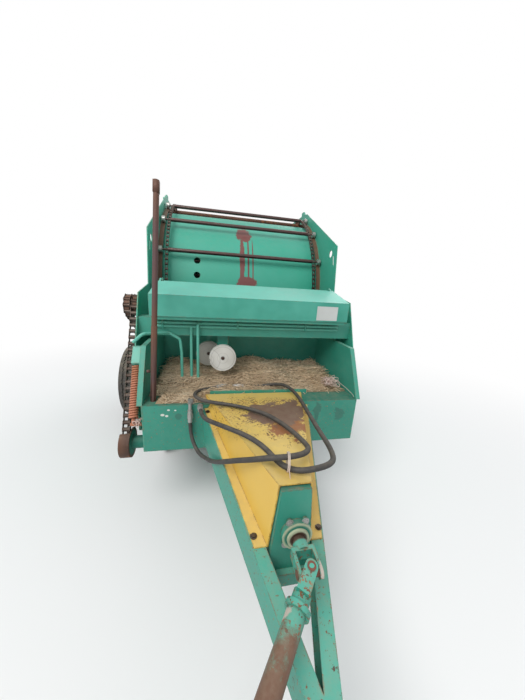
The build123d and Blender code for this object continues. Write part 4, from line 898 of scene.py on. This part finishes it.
def chain_of_links(name, lines, counts, offset, pitch, link_size, replaced):
    """Link plates and rollers round each line; every second link sits outside its neighbours."""
    height, width, roller_r = link_size
    for number, (title, inset) in enumerate((("outer", 0.0), ("inner", INNER_INSET))):
        places = []
        for (x, line), count in zip(lines, counts):
            rollers = even_places(line, count, offset)
            for index, (y, z) in enumerate(rollers):
                after = rollers[(index + 1) % count]
                if index % 2 == number:
                    places.append(((x, y, z), (math.atan2(after[1] - z, after[0] - y), 0.0, 0.0)))
        template = link_mesh(f"{name}_link", pitch, height, inset, width / 2, roller_r)
        title = f"{name}_{title}_links"
        piece = placed_copies(title, template, places, chain_steel)
        if number == 0:
            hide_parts(replaced)


def line_length(line):
    return sum(math.dist(a, b) for a, b in zip(line, line[1:] + line[:1]))


def make_chains():
    loop = loop_line()
    count = round(line_length(loop) / ROD_PITCH) * LINKS_PER_ROD
    offset = math.radians(FIRST_ROD_ANGLE) * LOOP_RUNS[1]
    lines = [(-CONVEYOR_X, loop), (CONVEYOR_X, loop)]
    pitch = line_length(loop) / count
    chain_of_links(
        "conveyor", lines, [count, count], offset, pitch, CONVEYOR_LINK, "front_conveyor"
    )
    shaft = on_ring(sum(LOOP_RUNS) / 2, LOOP_ANGLES[1])
    lower = (LOWER_SPROCKET, LOWER_SPROCKET_R)
    upper = (UPPER_SPROCKET, UPPER_SPROCKET_R)
    lines = list(zip(DRIVE_X, (
        belt_line(*lower, *upper), belt_line(*upper, shaft, CONVEYOR_SPROCKET_R),
    )))
    counts = [round(line_length(line) / DRIVE_PITCH) for x, line in lines]
    chain_of_links("drive", lines, counts, 0.0, DRIVE_PITCH, DRIVE_LINK, "drive_chains")


# Coil spring of the chain's tensioner, with its hook and pin
SPRING_TOP = (-0.675, -0.430, 0.992)
SPRING_FOOT = (-0.675, -0.560, 0.724)
SPRING_TURNS = 22
SPRING_WIRE = 0.0058
SPRING_COIL_R = 0.0200
TURN_STEPS = 14


def make_spring():
    top = Vector(SPRING_TOP)
    foot = Vector(SPRING_FOOT)
    way = (foot - top).normalized()
    side = Vector((1, 0, 0))
    other = way.cross(side)
    reach = (foot - top).length - 0.014
    steps = SPRING_TURNS * TURN_STEPS
    coil = []
    for step in range(steps + 1):
        turn = 2 * math.pi * step / TURN_STEPS
        place = top + way * (0.006 + reach * step / steps)
        coil.append(place + (side * math.cos(turn) + other * math.sin(turn)) * SPRING_COIL_R)
    add_tubes(
        "spring_coil", [coil], SPRING_WIRE, 7, spring_rust, "tension_spring"
    )
    pin = foot + way * 0.024
    for number, (start, end, radius) in enumerate((
        (top + way * 0.004, foot - way * 0.002, 0.006),
        (foot - way * 0.010, pin, 0.009),
        (pin - side * 0.012, pin + side * 0.046, 0.009),
    )):
        add_tubes(
            f"spring_rod_{number}", [[start, end]], radius, 12, spring_rust
        )


# Straw litter on the platform and the front beam; a bed is (low x, high x, low y, high y, depth)
DECK_BED = (-0.616, 0.616, -0.458, 0.097, 0.085)
BEAM_BED = (-0.560, -0.290, -0.560, -0.435, 0.030)
DECK_Z = 0.8135
LITTER_CELL = 0.014
LITTER_EDGE = 0.05
LEAST_RISE = 0.0006
MAT_ROUGHNESS = 0.14
SURFACE_CELLS = 24
STRAW_R = 0.0021
STRAW_BOW = 0.016


def grid_places(low_x, high_x, low_y, high_y, across, along):
    """The (x, y) places of a grid's points in rows, as many cells across and along."""
    for j in range(along + 1):
        for i in range(across + 1):
            yield (low_x + (high_x - low_x) * i / across, low_y + (high_y - low_y) * j / along)


def grid_faces(across, along, lift=0):
    """The quads of a grid of points in rows, as many cells across and along."""
    row = across + 1
    for j in range(along):
        for i in range(across):
            a = lift + j * row + i
            yield (a, a + 1, a + 1 + row, a + row)


def litter_height(x, y, bed):
    """How deep the litter lies at a place; it thins out at the bed's edges."""
    low_x, high_x, low_y, high_y, depth = bed
    ragged = 0.020 * math.sin(17.0 * x) + 0.012 * math.sin(43.0 * x + 11.0 * y)
    inside = min(x - low_x, high_x - x, high_y - y) / LITTER_EDGE
    front = min(max((y - low_y + ragged) / (0.4 * (high_y - low_y)), 0.0), 1.0)
    waves = 0.64 + 0.18 * math.sin(9.1 * x + 1.3) + 0.11 * math.sin(23.0 * x + 9.0 * y)
    waves += 0.10 * math.sin(37.0 * y)
    edge = min(max(inside, 0.0), 1.0) ** 0.6
    return edge * (0.10 + 0.90 * front ** 1.6) * depth * waves


def litter_mesh(name, bed, seed):
    """A closed mound of matted straw over a rectangle."""
    low_x, high_x, low_y, high_y, depth = bed
    across = round((high_x - low_x) / LITTER_CELL)
    along = round((high_y - low_y) / LITTER_CELL)
    draw = random.Random(seed)
    tops = []
    for x, y in grid_places(low_x, high_x, low_y, high_y, across, along):
        rise = litter_height(x, y, bed) * (1 + draw.uniform(-MAT_ROUGHNESS, MAT_ROUGHNESS))
        tops.append((x, y, DECK_Z + max(rise, LEAST_RISE)))
    row = across + 1
    count = len(tops)
    vertices = tops + [(x, y, DECK_Z) for x, y, z in tops]
    faces = list(grid_faces(across, along))
    faces += [quad[::-1] for quad in grid_faces(across, along, count)]
    rim = list(range(row)) + [j * row + across for j in range(1, along + 1)]
    rim += [along * row + i for i in range(across - 1, -1, -1)]
    rim += [j * row for j in range(along - 1, 0, -1)]
    for a, b in zip(rim, rim[1:] + rim[:1]):
        faces.append((a, a + count, b + count, b))
    return mesh_of(name, vertices, faces)


def value_socket(sockets, title, kind):
    """The socket of a random value's node that has this name and kind."""
    return next(s for s in sockets if s.name == title and s.type == kind)


def make_scatterer():
    """Geometry nodes that strew copies of a template over a surface, from a fixed seed."""
    tree, given, copies = copies_tree(
        "strewn_copies",
        (("Density", "Float"), ("Seed", "Int"), ("Lean", "Float"), ("Shortest", "Float")),
    )
    points = wire(
        tree, "GeometryNodeDistributePointsOnFaces",
        Mesh=given["Geometry"], Density=given["Density"], Seed=given["Seed"],
    )
    lean = given["Lean"]
    back = times(lean, -1.0)
    least = wire(tree, "ShaderNodeCombineXYZ", X=back, Y=back).outputs[0]
    most = wire(tree, "ShaderNodeCombineXYZ", X=lean, Y=lean, Z=2 * math.pi).outputs[0]
    settings = {"data_type": "FLOAT_VECTOR"}
    turn = wire(tree, "FunctionNodeRandomValue", settings, Seed=given["Seed"])
    size = wire(tree, "FunctionNodeRandomValue", Seed=given["Seed"])
    value_socket(size.inputs, "Max", "VALUE").default_value = 1.0
    for start, end in (
        (least, value_socket(turn.inputs, "Min", "VECTOR")),
        (most, value_socket(turn.inputs, "Max", "VECTOR")),
        (given["Shortest"], value_socket(size.inputs, "Min", "VALUE")),
        (points.outputs["Points"], copies["Points"]),
        (value_socket(turn.outputs, "Value", "VECTOR"), copies["Rotation"]),
        (value_socket(size.outputs, "Value", "VALUE"), copies["Scale"]),
    ):
        link(start, end)
    return tree


def straw_line(length, lift):
    """A bent straw along X, resting above its own middle."""
    shares = (-0.5, -0.15, 0.2, 0.5)
    return [
        (length * share, STRAW_BOW * math.sin(math.pi * (share + 0.5)), lift + 0.004 * share)
        for share in shares
    ]


def strew(name, surface, material, density, seed, length, lift):
    template = tube_mesh(name + "_template", [straw_line(length, lift)], STRAW_R, 3)
    values = {"Density": density, "Seed": seed, "Lean": 0.30, "Shortest": 0.30, "Finish": material}
    mesh = run_tree(name, surface, scatterer, values, template)
    new_piece(name, mesh)


scatterer = make_scatterer()


def make_litter(name, bed, density, seed, length):
    """A mat of straw over a bed, with loose straws on it."""
    low_x, high_x, low_y, high_y, depth = bed
    mat = litter_mesh(name + "_mat", bed, seed)
    add_mesh(name + "_mat", mat, straw_mat)
    margin = length * 0.36
    inner = (low_x + margin, high_x - margin, low_y + 0.012, high_y - margin)
    draw = random.Random(seed + 1)
    vertices = [
        (x, y, DECK_Z + (litter_height(x, y, bed) + draw.uniform(0.0, 0.006)))
        for x, y in grid_places(*inner, SURFACE_CELLS, SURFACE_CELLS)
    ]
    surface = bpy.data.meshes.new(name + "_surface")
    surface.from_pydata(vertices, [], list(grid_faces(SURFACE_CELLS, SURFACE_CELLS)))
    strew(name + "_straws", surface, straw, density, seed, length, 0.002)
    strew(name + "_old_straws", surface, old_straw, density * 0.7, seed + 2, length * 0.8, 0.0)


# Twine: two tangles and the hoses' tie
TWINE_R = 0.0016
TIE_R = 0.0013
HEAP_AT = (0.520, -0.420, 0.872)
HEAP_SIZE = (0.050, 0.040, 0.030)
HEAP_END = [
    (0.560, -0.440, 0.880), (0.600, -0.500, 0.850), (0.610, -0.560, 0.835), (0.608, -0.575, 0.828),
]
SPRING_TANGLE_AT = (-0.655, -0.570, 0.712)
SPRING_TANGLE_SIZE = (0.018, 0.022, 0.020)
TIE_AT = (-0.010, -1.193, 0.904)
TIE_REACH = (0.030, 0.032)
TIE_STEPS = 24
TIE_END = ((0.0, 0.0, 0.0), (0.005, -0.010, -0.037), (0.004, -0.020, -0.075))


def twine_tangle(draw, centre, spread_by, turns, steps):
    """One long thread that wanders about a centre."""
    line = []
    phases = [draw.uniform(0, 6.28) for number in range(6)]
    for step in range(steps):
        t = turns * 2 * math.pi * step / steps
        wander = [
            math.sin(t + phases[0]) * 0.7 + math.sin(t * 2.3 + phases[1]) * 0.4,
            math.cos(t * 1.1 + phases[2]) * 0.7 + math.sin(t * 1.9 + phases[3]) * 0.4,
            math.sin(t * 1.4 + phases[4]) * 0.6 + math.sin(t * 2.9 + phases[5]) * 0.3,
        ]
        line.append(tuple(c + w * s for c, w, s in zip(centre, wander, spread_by)))
    return line


def make_twine():
    draw = random.Random(7)
    heap = [twine_tangle(draw, HEAP_AT, HEAP_SIZE, 5, 190) for strand in range(3)] + [HEAP_END]
    foot = [
        twine_tangle(draw, SPRING_TANGLE_AT, SPRING_TANGLE_SIZE, 4, 150) for strand in range(2)
    ]
    centre = Vector(TIE_AT)
    along = Vector((0.98, -0.20, 0.0))
    across = Vector((0.20, 0.98, 0.0))
    turns = [2 * math.pi * step / TIE_STEPS for step in range(TIE_STEPS + 1)]
    ties = [
        [
            centre + along * shift + across * (TIE_REACH[0] * math.cos(t))
            + Vector((0, 0, TIE_REACH[1] * math.sin(t)))
            for t in turns
        ]
        for shift in (-0.003, 0.0, 0.003)
    ]
    start = centre - across * TIE_REACH[0]
    ties.append([start + Vector(step) for step in TIE_END])
    for name, lines, radius in (
        ("twine_heap", heap, TWINE_R), ("twine_at_spring", foot, TWINE_R), ("hose_ties", ties, TIE_R),
    ):
        add_tubes(name, lines, radius, 5, twine)


# Bolt heads, the blank plate on the hood and the pipe clamps
BOLT_R = 0.0085
BOLT_RISE = 0.006

# The cover at the beam's face, and how much less it is per metre ahead of it
COVER_HALF_WIDTH = (0.306, 0.268)
COVER_HEIGHT = (0.7903, 0.2365)
BOLT_TO_EDGE = 0.016
COVER_BOLTS_AHEAD = (0.030, 0.640)
BEARING_PLATE_Y = -1.2795
BEARING_BOLTS = ((-0.026, 0.046), (0.026, 0.046), (-0.034, -0.040))
HOOD_PLATE = ((0.397, -0.3538, 1.268), (0.540, -0.3525, 1.358))
CLAMPS_X = (-0.560, -0.100, 0.361)
CLAMP_HALF_WIDTH = 0.007
FLANGE_OUTER = ((0.0740, 0.5600), (0.0490, 0.8610))
FLANGE_INNER = ((0.0715, 0.5600), (0.0467, 0.8585))


def bolt_mesh(name, radius, rise):
    """A hexagon head with its washer, standing on the plane z = 0."""
    vertices, faces = [], []
    prism(vertices, faces, ring_outline((0, 0), radius * 1.5, 14), -0.0005, rise * 0.25)
    prism(vertices, faces, ring_outline((0, 0), radius, 6), rise * 0.25, rise)
    turned = [(y, z, x) for x, y, z in vertices]
    return mesh_of(name, turned, faces)


def bolts(name, places, material):
    """Bolt heads at places, each facing the way that its Euler angles turn +Z."""
    head = bolt_mesh(name + "_head", BOLT_R, BOLT_RISE)
    placed_copies(name, head, places, material)


def make_bolts():
    forward = (math.pi / 2, 0.0, 0.0)
    upward = (0.0, 0.0, 0.0)
    places = [
        ((SHAFT_X + x, BEARING_PLATE_Y, SHAFT_Z + z), forward) for x, z in BEARING_BOLTS
    ]
    bolts("bearing_bolts", places, zinc_steel)
    feet = []
    for side in (-1, 1):
        for ahead in COVER_BOLTS_AHEAD:
            x = side * (COVER_HALF_WIDTH[0] - COVER_HALF_WIDTH[1] * ahead - BOLT_TO_EDGE)
            z = COVER_HEIGHT[0] - COVER_HEIGHT[1] * ahead + 0.0005
            feet.append(((x, BEAM_FACE_Y - ahead, z), upward))
    bolts("cover_bolts", feet, bare_steel)


def slab(name, low, high, bevel, slot="green_paint", material=green, body="chassis"):
    """A thin plate between two corners, with softened edges."""
    shape = bmesh.new()
    bmesh.ops.create_cube(shape, size=1.0)
    for vertex in shape.verts:
        vertex.co = Vector([a + (b - a) * (c + 0.5) for a, b, c in zip(low, high, vertex.co)])
    bmesh.ops.bevel(shape, geom=shape.edges[:], offset=bevel, segments=2, affect="EDGES", profile=0.5)
    mesh = bpy.data.meshes.new(name)
    shape.to_mesh(mesh)
    shape.free()
    add_mesh(name, mesh, material, body=body)


def upright_plate(name, outline, low_y, high_y, caps, replaced=None):
    """A plate on an (x, z) outline between two y values; caps are the quads of its front."""
    count = len(outline)
    vertices = [(x, y, z) for y in (low_y, high_y) for x, z in outline]
    faces = caps + [tuple(count + i for i in quad[::-1]) for quad in caps]
    faces += [(i, (i + 1) % count, count + (i + 1) % count, count + i) for i in range(count)]
    mesh = mesh_of(name, vertices, faces)
    add_mesh(name, mesh, plate_green, replaced)


def make_plates():
    slab("hood_plate", *HOOD_PLATE, 0.0004, "pale_plastic", paper_plate, "hood_lid")
    for number, x in enumerate(CLAMPS_X):
        low = (x - CLAMP_HALF_WIDTH, -0.2755, 1.178)
        high = (x + CLAMP_HALF_WIDTH, -0.2545, 1.224)
        slab(f"pipe_clamp_{number}", low, high, 0.003)
    outline = [(-x, z) for x, z in FLANGE_OUTER] + [*FLANGE_OUTER[::-1], *FLANGE_INNER]
    outline += [(-x, z) for x, z in FLANGE_INNER[::-1]]
    caps = [(low, low + 1, 6 - low, 7 - low) for low in range(3)]
    upright_plate("plate_flange", outline, -1.2619, -1.2180, caps)


# Twine pulleys' bracket: a narrow plate for the front pulley and a strap behind the rear one
BRACKET_OUTLINE = [(-0.228, 0.940), (-0.228, 1.2395), (-0.150, 1.2395), (-0.160, 0.940)]
STRAP_TOP = (-0.270, -0.121, 1.232)
PINS_Y = ((-0.208, -0.324), (-0.122, -0.162))
PIN_R = 0.010


def make_bracket():
    upright_plate("bracket_plate", BRACKET_OUTLINE, -0.208, -0.202, [(0, 1, 2, 3)], "twine_bracket")
    slab("bracket_strap", (-0.300, -0.126, 0.970), STRAP_TOP, 0.001)
    slab("bracket_foot", (-0.300, -0.1545, 1.200), STRAP_TOP, 0.002)
    pins = [[(x, y, z) for y in span] for (x, z), span in zip(PULLEY_AXES, PINS_Y)]
    add_tubes("pulley_pins", pins, PIN_R, 16, dark_pin)


# Mast: wider foot sleeve with a knob, and a flattened head
MAST_FOOT = (-0.579, -0.522, 0.793)
MAST_TOP = (-0.530, -0.440, 1.920)


def mast_point(share):
    return tuple(a + (b - a) * share for a, b in zip(MAST_FOOT, MAST_TOP))


def make_mast():
    knob = Vector(mast_point(0.17))
    stub = [knob + Vector(step) for step in ((-0.018, -0.004, 0.0), (-0.034, -0.010, 0.0))]
    for name, line, radius, sides in (
        ("mast_sleeve", [mast_point(share) for share in (0.021, 0.2, 0.385)], 0.0185, 4),
        ("mast_head", [mast_point(share) for share in (0.950, 0.998)], 0.0200, 4),
        ("mast_knob", stub, 0.008, 8),
    ):
        add_tubes(name, [line], radius, sides, mast_rust)


# Stage and light
FLOOR_COLOUR = (0.86, 0.85, 0.83)
SKY_COLOUR = (1.0, 1.0, 1.0)
FLOOR_REACH = 60.0
FLOOR_Z = -0.001
FADE_REACH = (1.6, 5.5)
SKY_LIGHT = (0.80, 0.83, 0.88)


def seen_rays(tree, more=()):
    """1 on rays from the camera, on reflected ones and on the kinds named."""
    path = tree.nodes.new("ShaderNodeLightPath").outputs
    seen = sums("MAXIMUM", path["Is Camera Ray"], path["Is Glossy Ray"])
    for title in more:
        seen = sums("MAXIMUM", seen, path[title])
    return seen


def make_floor():
    mesh = bpy.data.meshes.new("floor")
    signs = ((-1, -1), (1, -1), (1, 1), (-1, 1))
    corners = [(x * FLOOR_REACH, y * FLOOR_REACH, FLOOR_Z) for x, y in signs]
    mesh.from_pydata(corners, [], [(0, 1, 2, 3)])
    floor = new_object("floor", mesh)
    material, tree, surface = new_material("floor")
    surface["Base Color"].default_value = (*FLOOR_COLOUR, 1.0)
    surface["Roughness"].default_value = 0.9
    away = vectors("LENGTH", object_place(tree), result="Value")
    share = times(spread(away, *FADE_REACH), seen_rays(tree))
    glow = wire(tree, "ShaderNodeEmission", Color=SKY_COLOUR, Strength=1.0).outputs[0]
    lit = tree.nodes["Principled BSDF"].outputs[0]
    faded = wire(tree, "ShaderNodeMixShader", _0=share, _1=lit, _2=glow).outputs[0]
    link(faded, tree.nodes["Material Output"].inputs["Surface"])
    mesh.materials.append(material)


def light_world():
    world = bpy.data.worlds.new("soft_sky")
    bpy.context.scene.world = world
    world.use_nodes = True
    tree = world.node_tree
    background = tree.nodes["Background"].inputs
    seen = seen_rays(tree, ("Is Transmission Ray",))
    link(blend_colours(seen, SKY_LIGHT, SKY_COLOUR), background["Color"])
    link(spread(seen, 0.0, 1.0, 0.75, 1.0), background["Strength"])


def soft_lamp(name, at, towards, size, power):
    lamp = bpy.data.lights.new(name, "AREA")
    lamp.energy = power
    lamp.shape = "DISK"
    lamp.size = size
    holder = new_object(name, lamp)
    aim = (Vector(towards) - Vector(at)).to_track_quat("-Z", "Y")
    holder.matrix_world = Matrix.Translation(at) @ aim.to_matrix().to_4x4()


make_tyres()
make_chains()
make_spring()
make_litter("deck_litter", DECK_BED, 7200.0, 11, 0.120)
make_litter("beam_litter", BEAM_BED, 6500.0, 31, 0.090)
make_twine()
make_bolts()
make_plates()
make_bracket()
make_mast()
make_floor()
light_world()
bpy.context.scene.view_settings.view_transform = "Standard"
soft_lamp("high_lamp", (-3.5, -4.5, 6.5), (0.0, 0.0, 0.8), 5.0, 420.0)
soft_lamp("rear_lamp", (4.0, 5.0, 5.5), (0.0, 0.5, 1.0), 5.0, 160.0)
